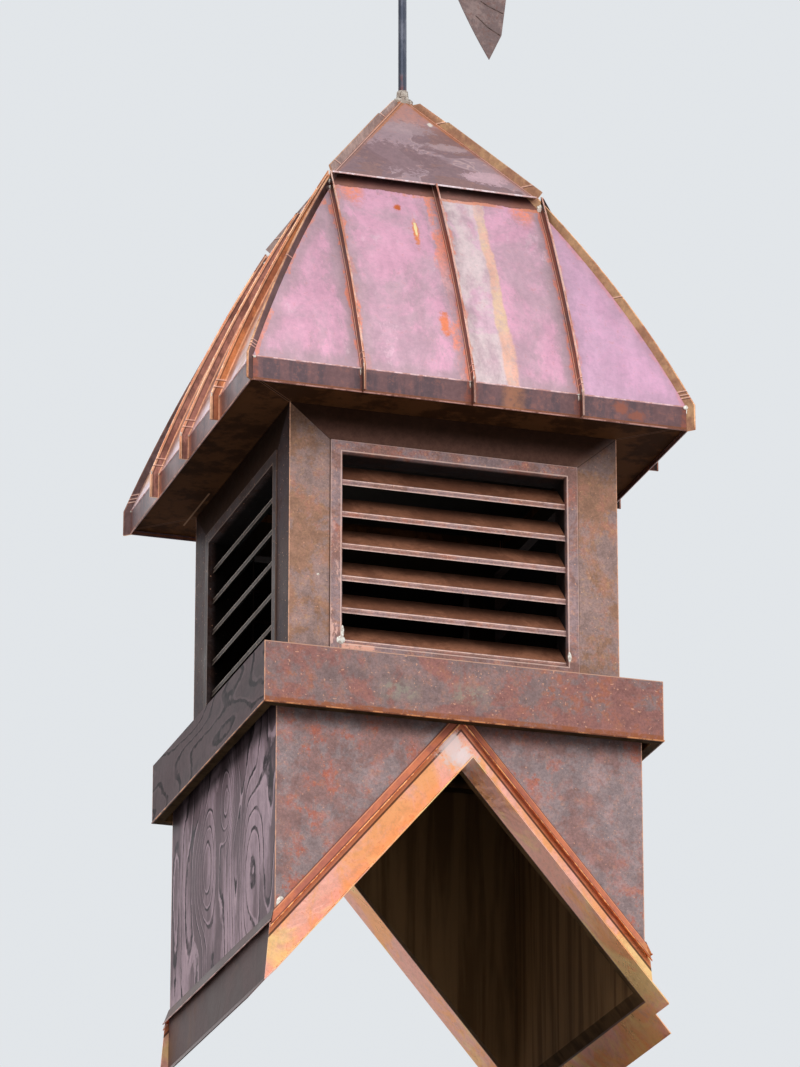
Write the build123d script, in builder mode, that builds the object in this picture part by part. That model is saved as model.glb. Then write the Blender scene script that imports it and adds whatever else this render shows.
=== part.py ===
from build123d import *
from math import atan2, cos, degrees, radians, sin, sqrt, tan
import os

# Copper-clad roof cupola with louvred sides, a curved standing-seam roof and a wind vane.
# Millimetres, +Z up. The base is cut as a saddle for a ridge that runs along Y, and the front
# faces -Y. The origin is on level ground under the centre, at the foot of the side flashings.

os.makedirs("parts", exist_ok=True)

# The roof that the saddle fits
ROOF_RISE = 14
ROOF_RUN = 12

# Base box
BASE_WIDTH = 762
BASE_WALL = 19
RIDGE_BELOW_BELT = 215

# Flashings round the saddle
FLASHING_SHEET = 2
FLASHING_ROOF_LEG = 76
FLASHING_UPSTAND = 112
FLASHING_EAR_TOP = 10
FLASHING_EAR_FOOT = 20
FLASHING_EAR_GAP = 2
COUNTER_HEIGHT = 28
COUNTER_ABOVE_SADDLE = 96
COUNTER_KICK = 9
COUNTER_SHEET = 2

# Belt, the boxed skirt between the base and the louvred storey
BELT_OVERHANG = 35
BELT_HEIGHT = 127
BELT_BOARD = 15
BELT_TOP_BOARD = 12
BELT_LIP = 20
BELT_LIP_SHEET = 3

# Louvred storey
LOUVRE_BOX_INSET = 33
LOUVRE_BOX_HEIGHT = 538
LOUVRE_BOX_WALL = 19
OPENING_WIDTH = 480
OPENING_FOOT = 33
OPENING_HEIGHT = 411
FRAME_FLANGE = 22
FRAME_PROUD = 3
FRAME_LINING = 2
FRAME_DEPTH = 66
BLADE_COUNT = 6
FIRST_LIP_BELOW_OPENING_TOP = 57
LAST_LIP_ABOVE_OPENING_FOOT = 13
BLADE_LIP = 12
BLADE_HEM = 5
BLADE_HEM_SHEET = 1.2
BLADE_SLOPE_LENGTH = 64
BLADE_ANGLE = 45
BLADE_SHEET = 2
BLADE_SETBACK = 12

# Eaves and curved roof
EAVE_OVERHANG = 114
FASCIA_DROP = 10
FASCIA_HEIGHT = 52
SOFFIT_BOARD = 18
ROOF_CURVE_RISE = 536
ROOF_TOP_WIDTH = 420
ROOF_SAGITTA = 13
PAN_SHEET = 1.5
DECK_BOARD = 12
PANS_PER_SIDE = 4
PAN_GAP = 1
SEAM_HEIGHT = 20
SEAM_THICKNESS = 3
HIP_SEAM_THICKNESS = 4
HIP_SEAM_REACH = 17
SEAM_CLEARANCE = 0.3

# Pyramid cap
CAP_OVERHANG = 15
CAP_RISE = 300
CAP_SHEET = 2
CAP_LAP = 4
DECK_ABOVE_ROOF_TOP = 90
CAP_SEAM_HEIGHT = 14
CAP_CLEARANCE = 0.2
MAST_BLOCK_HEIGHT = 110

# Mast and wind vane
MAST_DIAMETER = 18
MAST_ABOVE_APEX = 392
MAST_INTO_BLOCK = 70
COLLAR_DIAMETER = 32
COLLAR_TOP_DIAMETER = 24
COLLAR_ABOVE_APEX = 12
COLLAR_BELOW_APEX = 30
STOP_RING_DIAMETER = 34
STOP_RING_HEIGHT = 10
BALL_DIAMETER = 46
ARM_ABOVE_APEX = 290
ARM_DIAMETER = 12
ARM_TO_POINTER = 330
ARM_TO_TAIL = 228
HUB_DIAMETER = 30
HUB_HEIGHT = 70
HUB_RUNNING_CLEARANCE = 0.08
HUB_END_CLEARANCE = 0.3
VANE_PLATE = 3
POINTER_LENGTH = 130
POINTER_WIDTH = 120
POINTER_NOTCH = 34
TAIL_ROOT_START = 110
TAIL_ROOT_END = 238
TAIL_TIP = 196
TAIL_LOBE = 173
TAIL_SHOULDER = 224
TAIL_SHOULDER_BELOW_BAR = 112
TAIL_EDGE_BULGE = 4

# Slope and heights worked out from the sizes above
slope = ROOF_RISE / ROOF_RUN
pitch = degrees(atan2(ROOF_RISE, ROOF_RUN))
base_half = BASE_WIDTH / 2
belt_half = base_half + BELT_OVERHANG
box_half = base_half - LOUVRE_BOX_INSET
eave_half = box_half + EAVE_OVERHANG
saddle_reach = base_half + FLASHING_SHEET + FLASHING_ROOF_LEG * cos(radians(pitch))
ridge_z = slope * saddle_reach
belt_top = ridge_z + RIDGE_BELOW_BELT
soffit_z = belt_top + LOUVRE_BOX_HEIGHT
fascia_foot = soffit_z - FASCIA_DROP
eave_z = fascia_foot + FASCIA_HEIGHT
roof_top_z = eave_z + ROOF_CURVE_RISE
cap_z = roof_top_z - CAP_LAP
apex_z = cap_z + CAP_RISE
arm_z = apex_z + ARM_ABOVE_APEX
seam_spacing = 2 * eave_half / PANS_PER_SIDE

# Half length of the cutting forms, past every face of the cupola
FAR = 800

SIDES = {"front": 0, "right": 90, "back": 180, "left": 270}


def saddle_z(x):
    return ridge_z - slope * abs(x)


def save(part, name):
    part.label = name
    export_step(part, f"parts/{name}.step")


def turned(part, angle):
    with BuildPart() as copy:
        add(part, rotation=(0, 0, angle))
    return copy.part


def save_on_each_side(part, name):
    for side, angle in SIDES.items():
        save(turned(part, angle), f"{name}_{side}")


def front_quarter(clearance=0.0):
    """The part of space whose nearest wall is the front one, back from the mitres by a clearance."""
    back = clearance * sqrt(2)
    with BuildPart() as quarter:
        with BuildSketch():
            with BuildLine():
                Polyline((0, -back), (-FAR, -FAR - back), (FAR, -FAR - back), close=True)
            make_face()
        extrude(amount=4 * FAR)
    return quarter.part


def gabled_band(height, half, depth):
    """Plate on the front wall that follows the saddle at a height above it, out from the wall."""
    with BuildPart() as band:
        with BuildSketch(Plane.XZ.offset(base_half)):
            with BuildLine():
                Polyline(
                    (-half, saddle_z(half)),
                    (0, ridge_z),
                    (half, saddle_z(half)),
                    (half, saddle_z(half) + height),
                    (0, ridge_z + height),
                    (-half, saddle_z(half) + height),
                    close=True,
                )
            make_face()
        extrude(amount=depth)
    return band.part


mitres = front_quarter()

# Base walls, mitred at the corners: gable walls cut to the saddle and side walls with a bevelled foot
base_wall_top = belt_top - BELT_TOP_BOARD
with BuildPart() as gable_wall:
    with BuildSketch(Plane.XZ.offset(base_half - BASE_WALL)):
        with BuildLine():
            Polyline(
                (-base_half, saddle_z(base_half)),
                (0, ridge_z),
                (base_half, saddle_z(base_half)),
                (base_half, base_wall_top),
                (-base_half, base_wall_top),
                close=True,
            )
        make_face()
    extrude(amount=BASE_WALL)
    add(mitres, mode=Mode.INTERSECT)
save(gable_wall.part, "base_wall_front")
save(turned(gable_wall.part, 180), "base_wall_back")

with BuildPart() as side_wall:
    with BuildSketch(Plane.XZ):
        with BuildLine():
            Polyline(
                (base_half, saddle_z(base_half)),
                (base_half, base_wall_top),
                (base_half - BASE_WALL, base_wall_top),
                (base_half - BASE_WALL, saddle_z(base_half - BASE_WALL)),
                close=True,
            )
        make_face()
    extrude(amount=base_half, both=True)
    add(mitres, rotation=(0, 0, 90), mode=Mode.INTERSECT)
save(side_wall.part, "base_wall_right")
save(turned(side_wall.part, 180), "base_wall_left")

# Base flashings: an upstand on the wall and a leg that lies on the roof
leg_depth = FLASHING_SHEET / cos(radians(pitch))
ear_foot = base_half + FLASHING_EAR_FOOT
ear_top_z = saddle_z(base_half) + COUNTER_ABOVE_SADDLE - FLASHING_EAR_GAP
upstand = gabled_band(FLASHING_UPSTAND, base_half, FLASHING_SHEET)
roof_leg = gabled_band(leg_depth, ear_foot, FLASHING_SHEET + FLASHING_ROOF_LEG)
with BuildPart() as gable_flashing:
    add(upstand)
    add(roof_leg)
    for way in (-1, 1):
        with BuildSketch(Plane.XZ.offset(base_half)):
            with BuildLine():
                Polyline(
                    (way * base_half, saddle_z(base_half)),
                    (way * ear_foot, saddle_z(ear_foot)),
                    (way * (base_half + FLASHING_EAR_TOP), ear_top_z),
                    (way * base_half, ear_top_z),
                    close=True,
                )
            make_face()
        extrude(amount=FLASHING_SHEET)
save(gable_flashing.part, "base_flashing_front")
save(turned(gable_flashing.part, 180), "base_flashing_back")

side_flashing_top = saddle_z(base_half) + FLASHING_UPSTAND
with BuildPart() as side_flashing:
    with BuildSketch(Plane.XZ):
        outer = base_half + FLASHING_SHEET
        with BuildLine():
            Polyline(
                (base_half, saddle_z(base_half)),
                (saddle_reach, 0),
                (
                    saddle_reach + FLASHING_SHEET * sin(radians(pitch)),
                    FLASHING_SHEET * cos(radians(pitch)),
                ),
                (outer, saddle_z(outer) + leg_depth),
                (outer, side_flashing_top),
                (base_half, side_flashing_top),
                close=True,
            )
        make_face()
    extrude(amount=base_half, both=True)
save(side_flashing.part, "base_flashing_right")
save(turned(side_flashing.part, 180), "base_flashing_left")

# Counter flashings: strips below the cladding whose lower edge kicks out over the upstand
counter_top = COUNTER_ABOVE_SADDLE + COUNTER_HEIGHT


def counter_outline(top_z, wall=0.0):
    """Corners of the strip's section, outwards from the wall's face and up."""
    foot_z = top_z - COUNTER_HEIGHT
    return (
        (wall, top_z),
        (wall + COUNTER_SHEET, top_z),
        (wall + COUNTER_KICK + COUNTER_SHEET, foot_z),
        (wall + COUNTER_KICK, foot_z),
        (wall, top_z - COUNTER_SHEET),
    )


counter_reach = base_half + COUNTER_KICK + COUNTER_SHEET
with BuildPart() as side_counter:
    with BuildSketch(Plane.XZ):
        with BuildLine():
            Polyline(*counter_outline(saddle_z(base_half) + counter_top, base_half), close=True)
        make_face()
    extrude(amount=counter_reach, both=True)
    add(mitres, rotation=(0, 0, 90), mode=Mode.INTERSECT)
save(side_counter.part, "counter_flashing_right")
save(turned(side_counter.part, 180), "counter_flashing_left")

# On the gables the strip climbs with the slope, so each half is lofted from its foot to the ridge
with BuildPart() as gable_counter:
    for foot_x in (-counter_reach, counter_reach):
        for x in (0, foot_x):
            with BuildSketch(Plane(origin=(x, -base_half, 0), x_dir=(0, -1, 0), z_dir=(-1, 0, 0))):
                with BuildLine():
                    Polyline(*counter_outline(saddle_z(x) + counter_top), close=True)
                make_face()
        loft()
    add(mitres, mode=Mode.INTERSECT)
save(gable_counter.part, "counter_flashing_front")
save(turned(gable_counter.part, 180), "counter_flashing_back")

# Belt: face board, top board that carries the louvred storey, and a lip turned in at the foot
belt_foot = belt_top - BELT_HEIGHT
belt_inner = box_half - LOUVRE_BOX_WALL
with BuildPart() as belt:
    with BuildSketch(Plane.YZ):
        with BuildLine():
            Polyline(
                (-belt_half, belt_foot),
                (-belt_half + BELT_LIP, belt_foot),
                (-belt_half + BELT_LIP, belt_foot + BELT_LIP_SHEET),
                (-belt_half + BELT_BOARD, belt_foot + BELT_LIP_SHEET),
                (-belt_half + BELT_BOARD, base_wall_top),
                (-belt_inner, base_wall_top),
                (-belt_inner, belt_top),
                (-belt_half, belt_top),
                close=True,
            )
        make_face()
    extrude(amount=belt_half, both=True)
    add(mitres, mode=Mode.INTERSECT)
save_on_each_side(belt.part, "belt")

# Louvred storey: four mitred walls, each with one opening
opening_z = belt_top + OPENING_FOOT + OPENING_HEIGHT / 2
with BuildPart() as louvre_wall:
    with BuildSketch(Plane.XZ.offset(box_half - LOUVRE_BOX_WALL)):
        with Locations((0, belt_top + LOUVRE_BOX_HEIGHT / 2)):
            Rectangle(2 * box_half, LOUVRE_BOX_HEIGHT)
        with Locations((0, opening_z)):
            Rectangle(OPENING_WIDTH, OPENING_HEIGHT, mode=Mode.SUBTRACT)
    extrude(amount=LOUVRE_BOX_WALL)
    add(mitres, mode=Mode.INTERSECT)
save_on_each_side(louvre_wall.part, "louvre_wall")

# Louvre frames: a flange on the wall and a lining through it, which carries the blades
clear_width = OPENING_WIDTH - 2 * FRAME_LINING
clear_height = OPENING_HEIGHT - 2 * FRAME_LINING
with BuildPart() as louvre_frame:
    with BuildSketch(Plane.XZ.offset(box_half)):
        with Locations((0, opening_z)):
            Rectangle(OPENING_WIDTH + 2 * FRAME_FLANGE, OPENING_HEIGHT + 2 * FRAME_FLANGE)
            Rectangle(clear_width, clear_height, mode=Mode.SUBTRACT)
    extrude(amount=FRAME_PROUD)
    with BuildSketch(Plane.XZ.offset(box_half)):
        with Locations((0, opening_z)):
            Rectangle(OPENING_WIDTH, OPENING_HEIGHT)
            Rectangle(clear_width, clear_height, mode=Mode.SUBTRACT)
    extrude(amount=-FRAME_DEPTH)
save_on_each_side(louvre_frame.part, "louvre_frame")

# Louvre blades: an upright lip with its foot hemmed outwards, then the blade rising inwards
lip_y = -(box_half + FRAME_PROUD - BLADE_SETBACK)
blade_run = BLADE_SLOPE_LENGTH * cos(radians(BLADE_ANGLE))
blade_rise = BLADE_SLOPE_LENGTH * sin(radians(BLADE_ANGLE))
bend_step = BLADE_SHEET * tan(radians(90 - BLADE_ANGLE) / 2)
first_lip_z = belt_top + OPENING_FOOT + OPENING_HEIGHT - FIRST_LIP_BELOW_OPENING_TOP
last_lip_z = belt_top + OPENING_FOOT + LAST_LIP_ABOVE_OPENING_FOOT
blade_pitch = (first_lip_z - last_lip_z) / (BLADE_COUNT - 1)
with BuildPart() as louvre_blades:
    for row in range(BLADE_COUNT):
        lip_z = first_lip_z - row * blade_pitch
        lip_foot_z = max(lip_z - BLADE_LIP, opening_z - clear_height / 2)
        tail_y, tail_z = lip_y + blade_run, lip_z + blade_rise
        with BuildSketch(Plane.YZ):
            with BuildLine():
                Polyline(
                    (lip_y - BLADE_HEM_SHEET, lip_foot_z),
                    (lip_y - BLADE_HEM_SHEET, lip_foot_z + BLADE_HEM),
                    (lip_y, lip_foot_z + BLADE_HEM),
                    (lip_y, lip_z),
                    (tail_y, tail_z),
                    (
                        tail_y + BLADE_SHEET * sin(radians(BLADE_ANGLE)),
                        tail_z - BLADE_SHEET * cos(radians(BLADE_ANGLE)),
                    ),
                    (lip_y + BLADE_SHEET, lip_z - bend_step),
                    (lip_y + BLADE_SHEET, lip_foot_z),
                    close=True,
                )
            make_face()
        extrude(amount=clear_width / 2, both=True)
save_on_each_side(louvre_blades.part, "louvre_blades")

# Soffit: a ring board on the wall tops that carries the roof
with BuildPart() as soffit:
    with BuildSketch(Plane.XY.offset(soffit_z)):
        Rectangle(2 * (eave_half - PAN_SHEET), 2 * (eave_half - PAN_SHEET))
        Rectangle(2 * belt_inner, 2 * belt_inner, mode=Mode.SUBTRACT)
    extrude(amount=SOFFIT_BOARD)
save(soffit.part, "soffit")

# The roof curve is one arc from the eave to the roof's top, concentric for every offset from the sheet
roof_top_half = ROOF_TOP_WIDTH / 2
chord_in = eave_half - roof_top_half
chord = sqrt(chord_in**2 + ROOF_CURVE_RISE**2)
curve_radius = chord**2 / (8 * ROOF_SAGITTA) + ROOF_SAGITTA / 2
curve_depth = curve_radius - ROOF_SAGITTA
centre_h = (eave_half + roof_top_half) / 2 - curve_depth * ROOF_CURVE_RISE / chord
centre_z = (eave_z + roof_top_z) / 2 - curve_depth * chord_in / chord
deck_top_z = roof_top_z + DECK_ABOVE_ROOF_TOP


def curve_h(z, offset):
    return centre_h + sqrt((curve_radius + offset) ** 2 - (z - centre_z) ** 2)


def curve_z(h, offset):
    return centre_z + sqrt((curve_radius + offset) ** 2 - (h - centre_h) ** 2)


def roof_form(offset, foot_z):
    """Solid under the hipped, curved roof, outside its sheet by an offset, with upright eaves."""
    eave = eave_half + offset
    bend_z = curve_z(eave, offset)
    mid_z = (bend_z + deck_top_z) / 2
    top_h = curve_h(deck_top_z, offset)
    mid_h = curve_h(mid_z, offset)
    with BuildPart() as form:
        for plane, mode in ((Plane.XZ, Mode.ADD), (Plane.YZ, Mode.INTERSECT)):
            with BuildSketch(plane) as section:
                with BuildLine():
                    Line((-eave, foot_z), (eave, foot_z))
                    Line((eave, foot_z), (eave, bend_z))
                    ThreePointArc((eave, bend_z), (mid_h, mid_z), (top_h, deck_top_z))
                    Line((top_h, deck_top_z), (-top_h, deck_top_z))
                    ThreePointArc((-top_h, deck_top_z), (-mid_h, mid_z), (-eave, bend_z))
                    Line((-eave, bend_z), (-eave, foot_z))
                make_face()
            extrude(section.sketch, amount=FAR, both=True, mode=mode)
    return form.part


cap_half = roof_top_half + CAP_OVERHANG
cap_slope = CAP_RISE / cap_half
cap_pitch = atan2(CAP_RISE, cap_half)


def cap_form(offset, foot_z):
    """Pyramid of the cap's slope, outside its sheet by an offset, down to a foot."""
    top_z = apex_z + offset / cos(cap_pitch)
    half = (top_z - foot_z) / cap_slope
    with BuildPart() as form:
        for plane, mode in ((Plane.XZ, Mode.ADD), (Plane.YZ, Mode.INTERSECT)):
            with BuildSketch(plane) as section:
                with BuildLine():
                    Polyline((-half, foot_z), (half, foot_z), (0, top_z), close=True)
                make_face()
            extrude(section.sketch, amount=FAR, both=True, mode=mode)
    return form.part


deck_skin = roof_form(-PAN_SHEET, soffit_z + SOFFIT_BOARD)
deck_hollow = roof_form(-PAN_SHEET - DECK_BOARD, soffit_z)
pan_skin = roof_form(0, fascia_foot)
pan_hollow = roof_form(-PAN_SHEET, soffit_z - FAR)
seam_skin = roof_form(SEAM_HEIGHT, fascia_foot)
seam_hollow = roof_form(0, soffit_z - FAR)
hip_skin = roof_form(HIP_SEAM_REACH / sqrt(2), fascia_foot)
cap_skin = cap_form(0, cap_z)
cap_hollow = cap_form(-CAP_SHEET, cap_z - CAP_RISE)
cap_seam_skin = cap_form(CAP_SEAM_HEIGHT, cap_z)
cap_seam_hollow = cap_form(0, cap_z - CAP_RISE)
cap_keep = cap_form(-CAP_SHEET - CAP_CLEARANCE, fascia_foot)

# What lies under the cap may rise to its sheet, and what stands outside the cap stops at its foot
with BuildPart() as under_cap:
    add(cap_keep)
    with BuildSketch(Plane.XY.offset(fascia_foot)):
        Rectangle(2 * FAR, 2 * FAR)
    extrude(amount=cap_z - CAP_CLEARANCE - fascia_foot)

# Roof deck: curved boards between the soffit and the cap, open inside
with BuildPart() as roof_deck:
    add(deck_skin)
    add(deck_hollow, mode=Mode.SUBTRACT)
    add(under_cap.part, mode=Mode.INTERSECT)
save(roof_deck.part, "roof_deck")

# Roof pans: sheets bent over the eave into the fascia, apart under the standing seams and hips
seam_x = [(row - PANS_PER_SIDE / 2) * seam_spacing for row in range(1, PANS_PER_SIDE)]
hip_clearance = HIP_SEAM_THICKNESS / 2 + SEAM_CLEARANCE
between_hips = front_quarter(hip_clearance)
with BuildPart() as roof_pans:
    add(pan_skin)
    add(pan_hollow, mode=Mode.SUBTRACT)
    add(under_cap.part, mode=Mode.INTERSECT)
    add(between_hips, mode=Mode.INTERSECT)
    with BuildSketch(Plane.XZ.offset(FAR)):
        with Locations(*[(x, eave_z) for x in seam_x]):
            Rectangle(PAN_GAP, 4 * FAR)
    extrude(amount=-FAR, mode=Mode.SUBTRACT)
save_on_each_side(roof_pans.part, "roof_pans")

# Standing seams: folded ribs over the joints of the pans, down the roof and the fascia
with BuildPart() as seams_of_a_side:
    add(seam_skin)
    add(seam_hollow, mode=Mode.SUBTRACT)
    add(under_cap.part, mode=Mode.INTERSECT)
    add(between_hips, mode=Mode.INTERSECT)
    with BuildSketch(Plane.XZ.offset(FAR)):
        with Locations(*[(x, eave_z) for x in seam_x]):
            Rectangle(SEAM_THICKNESS, 4 * FAR)
    extrude(amount=-FAR, mode=Mode.INTERSECT)
with BuildPart() as standing_seams:
    for angle in SIDES.values():
        add(seams_of_a_side.part, rotation=(0, 0, angle))
save(standing_seams.part, "standing_seams")


def diagonal_slabs(foot_z, thickness):
    """Upright slabs in the two planes of the hips."""
    with BuildPart() as slabs:
        for turn in (45, 135):
            with BuildSketch(Plane.XY.offset(foot_z).rotated((0, 0, turn))):
                Rectangle(4 * FAR, thickness)
            extrude(amount=4 * FAR)
    return slabs.part


# Hip seams: upright ribs on the four hips, seated on the deck
hip_planes = diagonal_slabs(0, HIP_SEAM_THICKNESS)
with BuildPart() as hip_seams:
    add(hip_skin)
    add(pan_hollow, mode=Mode.SUBTRACT)
    add(under_cap.part, mode=Mode.INTERSECT)
    add(hip_planes, mode=Mode.INTERSECT)
save(hip_seams.part, "hip_seams")

# Cap: a pyramid of sheet, bored for the mast at its apex
with BuildPart() as cap:
    add(cap_skin)
    add(cap_hollow, mode=Mode.SUBTRACT)
    with Locations((0, 0, apex_z)):
        Cylinder(MAST_DIAMETER / 2, 2 * CAP_RISE, mode=Mode.SUBTRACT)
save(cap.part, "cap")

# Cap strips: the same ribs on the cap's hips, their feet cut square to the hip
cap_reach = cap_half * sqrt(2)
cap_hip_pitch = atan2(CAP_RISE, cap_reach)
cut_out, cut_up = CAP_RISE * sin(cap_hip_pitch), CAP_RISE * cos(cap_hip_pitch)
with BuildPart() as cap_planes:
    for turn in (45, 135):
        with BuildSketch(Plane.XZ.rotated((0, 0, turn))):
            with BuildLine():
                Polyline(
                    (-cap_reach, cap_z),
                    (cap_reach, cap_z),
                    (cap_reach + cut_out, cap_z + cut_up),
                    (-cap_reach - cut_out, cap_z + cut_up),
                    close=True,
                )
            make_face()
        extrude(amount=HIP_SEAM_THICKNESS / 2, both=True)
with BuildPart() as cap_seams:
    add(cap_seam_skin)
    add(cap_seam_hollow, mode=Mode.SUBTRACT)
    add(cap_planes.part, mode=Mode.INTERSECT)
    with Locations((0, 0, apex_z)):
        Cylinder(COLLAR_DIAMETER / 2, 2 * CAP_RISE, mode=Mode.SUBTRACT)
save(cap_seams.part, "cap_seams")

# Mast block: timber in the top of the cap that holds the mast
mast_foot_z = apex_z - COLLAR_BELOW_APEX - MAST_INTO_BLOCK
block_form = cap_form(-CAP_SHEET, apex_z - COLLAR_BELOW_APEX - MAST_BLOCK_HEIGHT)
with BuildPart() as mast_block:
    add(block_form)
    with Locations((0, 0, mast_foot_z)):
        Cylinder(
            MAST_DIAMETER / 2,
            CAP_RISE,
            align=(Align.CENTER, Align.CENTER, Align.MIN),
            mode=Mode.SUBTRACT,
        )
save(mast_block.part, "mast_block")

# Apex collar: a cone of solder and sheet round the foot of the mast
with BuildPart() as apex_collar:
    with Locations((0, 0, apex_z - COLLAR_BELOW_APEX)):
        Cone(
            COLLAR_DIAMETER / 2,
            COLLAR_TOP_DIAMETER / 2,
            COLLAR_BELOW_APEX + COLLAR_ABOVE_APEX,
            align=(Align.CENTER, Align.CENTER, Align.MIN),
        )
    with Locations((0, 0, apex_z)):
        Cylinder(MAST_DIAMETER / 2, CAP_RISE, mode=Mode.SUBTRACT)
    add(cap_skin, mode=Mode.SUBTRACT)
save(apex_collar.part, "apex_collar")

# Mast: a round rod with a stop ring under the vane's hub
hub_foot_z = arm_z - HUB_HEIGHT / 2
mast_top_z = apex_z + MAST_ABOVE_APEX
with BuildPart() as mast:
    with BuildSketch(Plane.XY.offset(mast_foot_z)):
        Circle(MAST_DIAMETER / 2)
    extrude(amount=mast_top_z - mast_foot_z)
    with BuildSketch(Plane.XY.offset(hub_foot_z - HUB_END_CLEARANCE - STOP_RING_HEIGHT)):
        Circle(STOP_RING_DIAMETER / 2)
    extrude(amount=STOP_RING_HEIGHT)
save(mast.part, "mast")

# Ball on the mast's top, with a flat foot and a blind bore
with BuildPart() as mast_ball:
    with Locations((0, 0, mast_top_z)):
        Sphere(BALL_DIAMETER / 2)
        Cylinder(
            MAST_DIAMETER / 2,
            BALL_DIAMETER,
            align=(Align.CENTER, Align.CENTER, Align.MAX),
            mode=Mode.SUBTRACT,
        )
save(mast_ball.part, "mast_ball")

# Vane arm: a hub that turns on the mast and a round bar through it
with BuildPart() as vane_arm:
    with BuildSketch(Plane.XY.offset(hub_foot_z)):
        Circle(HUB_DIAMETER / 2)
    extrude(amount=HUB_HEIGHT)
    with BuildSketch(Plane.YZ.offset(-ARM_TO_POINTER)):
        with Locations((0, arm_z)):
            Circle(ARM_DIAMETER / 2)
    extrude(amount=ARM_TO_POINTER + ARM_TO_TAIL)
    with BuildSketch(Plane.XY.offset(hub_foot_z)):
        Circle(MAST_DIAMETER / 2 + HUB_RUNNING_CLEARANCE)
    extrude(amount=HUB_HEIGHT, mode=Mode.SUBTRACT)
save(vane_arm.part, "vane_arm")

# Pointer: a notched arrowhead of plate, slotted over the bar
pointer_back = -ARM_TO_POINTER + POINTER_LENGTH / 2
with BuildPart() as vane_pointer:
    with BuildSketch(Plane.XZ):
        with BuildLine():
            Polyline(
                (pointer_back - POINTER_LENGTH, arm_z),
                (pointer_back, arm_z + POINTER_WIDTH / 2),
                (pointer_back - POINTER_NOTCH, arm_z),
                (pointer_back, arm_z - POINTER_WIDTH / 2),
                close=True,
            )
        make_face()
    extrude(amount=VANE_PLATE / 2, both=True)
    add(vane_arm.part, mode=Mode.SUBTRACT)
save(vane_pointer.part, "vane_pointer")


# Tail: a pair of plate feathers above and below the bar, each with one long edge and one shoulder
def bulged(start, end, bulge):
    """Point beside the middle of a line, on its left as seen from the start."""
    dx, dz = end[0] - start[0], end[1] - start[1]
    length = sqrt(dx**2 + dz**2)
    return (
        (start[0] + end[0]) / 2 - dz / length * bulge,
        (start[1] + end[1]) / 2 + dx / length * bulge,
    )


root_start = (TAIL_ROOT_START, arm_z)
root_end = (TAIL_ROOT_END, arm_z)
low_tip, high_tip = (TAIL_TIP, arm_z - TAIL_LOBE), (TAIL_TIP, arm_z + TAIL_LOBE)
low_shoulder = (TAIL_SHOULDER, arm_z - TAIL_SHOULDER_BELOW_BAR)
high_shoulder = (TAIL_SHOULDER, arm_z + TAIL_SHOULDER_BELOW_BAR)
with BuildPart() as vane_tail:
    with BuildSketch(Plane.XZ):
        with BuildLine():
            ThreePointArc(root_start, bulged(root_start, high_tip, TAIL_EDGE_BULGE), high_tip)
            Polyline(high_tip, high_shoulder, root_end, low_shoulder, low_tip)
            ThreePointArc(low_tip, bulged(low_tip, root_start, TAIL_EDGE_BULGE), root_start)
        make_face()
    extrude(amount=VANE_PLATE / 2, both=True)
    add(vane_arm.part, mode=Mode.SUBTRACT)
save(vane_tail.part, "vane_tail")
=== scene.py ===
# %% [markdown]
# This lesson dresses a copper-clad roof cupola that arrives as plain CAD solids. The solids already
# have the right shape and place, so the work here is what a sheet-metal worker and the weather leave
# behind: the patina, the folded hems, the solder, the laps and the small joints. The frame is loaded
# first. Nothing that is added may make the cupola larger.

import math

import bpy
from mathutils import Matrix, Vector


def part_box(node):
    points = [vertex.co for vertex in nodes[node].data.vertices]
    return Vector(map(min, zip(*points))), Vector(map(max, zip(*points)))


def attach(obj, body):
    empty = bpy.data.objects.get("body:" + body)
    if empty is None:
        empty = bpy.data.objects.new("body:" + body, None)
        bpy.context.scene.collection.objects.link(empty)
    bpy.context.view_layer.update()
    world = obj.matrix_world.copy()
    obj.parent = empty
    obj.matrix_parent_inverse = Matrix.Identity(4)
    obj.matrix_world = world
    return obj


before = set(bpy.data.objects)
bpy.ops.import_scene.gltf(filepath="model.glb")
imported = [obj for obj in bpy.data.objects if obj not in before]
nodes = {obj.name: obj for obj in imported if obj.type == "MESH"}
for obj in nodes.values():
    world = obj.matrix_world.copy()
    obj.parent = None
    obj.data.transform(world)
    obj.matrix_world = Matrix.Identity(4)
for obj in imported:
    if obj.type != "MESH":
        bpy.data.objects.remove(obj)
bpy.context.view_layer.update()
SIDES = {"front": 0, "right": 90, "back": 180, "left": 270}
LIT_SIDES = ("front", "right", "back")

# %% [markdown]
# Every piece is placed from the solids' own sizes. They are read once here: the heights of the belt,
# the eaves and the cap, and the half widths of the boxes. The roof's line is one arc from the eave to
# the cap, so a small function gives how far out the sheet is at any height.

# %% Sizes read from the frame
base_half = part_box("base_wall_front")[1].x
belt_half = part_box("belt_front")[1].x
belt_foot, belt_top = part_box("belt_front")[0].z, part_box("belt_front")[1].z
box_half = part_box("louvre_wall_front")[1].x
soffit_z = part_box("louvre_wall_front")[1].z
trim_low, trim_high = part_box("louvre_frame_front")
blades_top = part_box("louvre_blades_front")[1].z
fascia_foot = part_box("roof_pans_front")[0].z
eave_half = -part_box("roof_pans_front")[0].y
cap_low, cap_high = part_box("cap")
cap_z, cap_half, apex_z = cap_low.z, cap_high.x, cap_high.z
arm_z = (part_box("vane_pointer")[0].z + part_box("vane_pointer")[1].z) / 2
print("belt", round(belt_top, 4), "soffit", round(soffit_z, 4), "cap", round(cap_z, 4))

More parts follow.
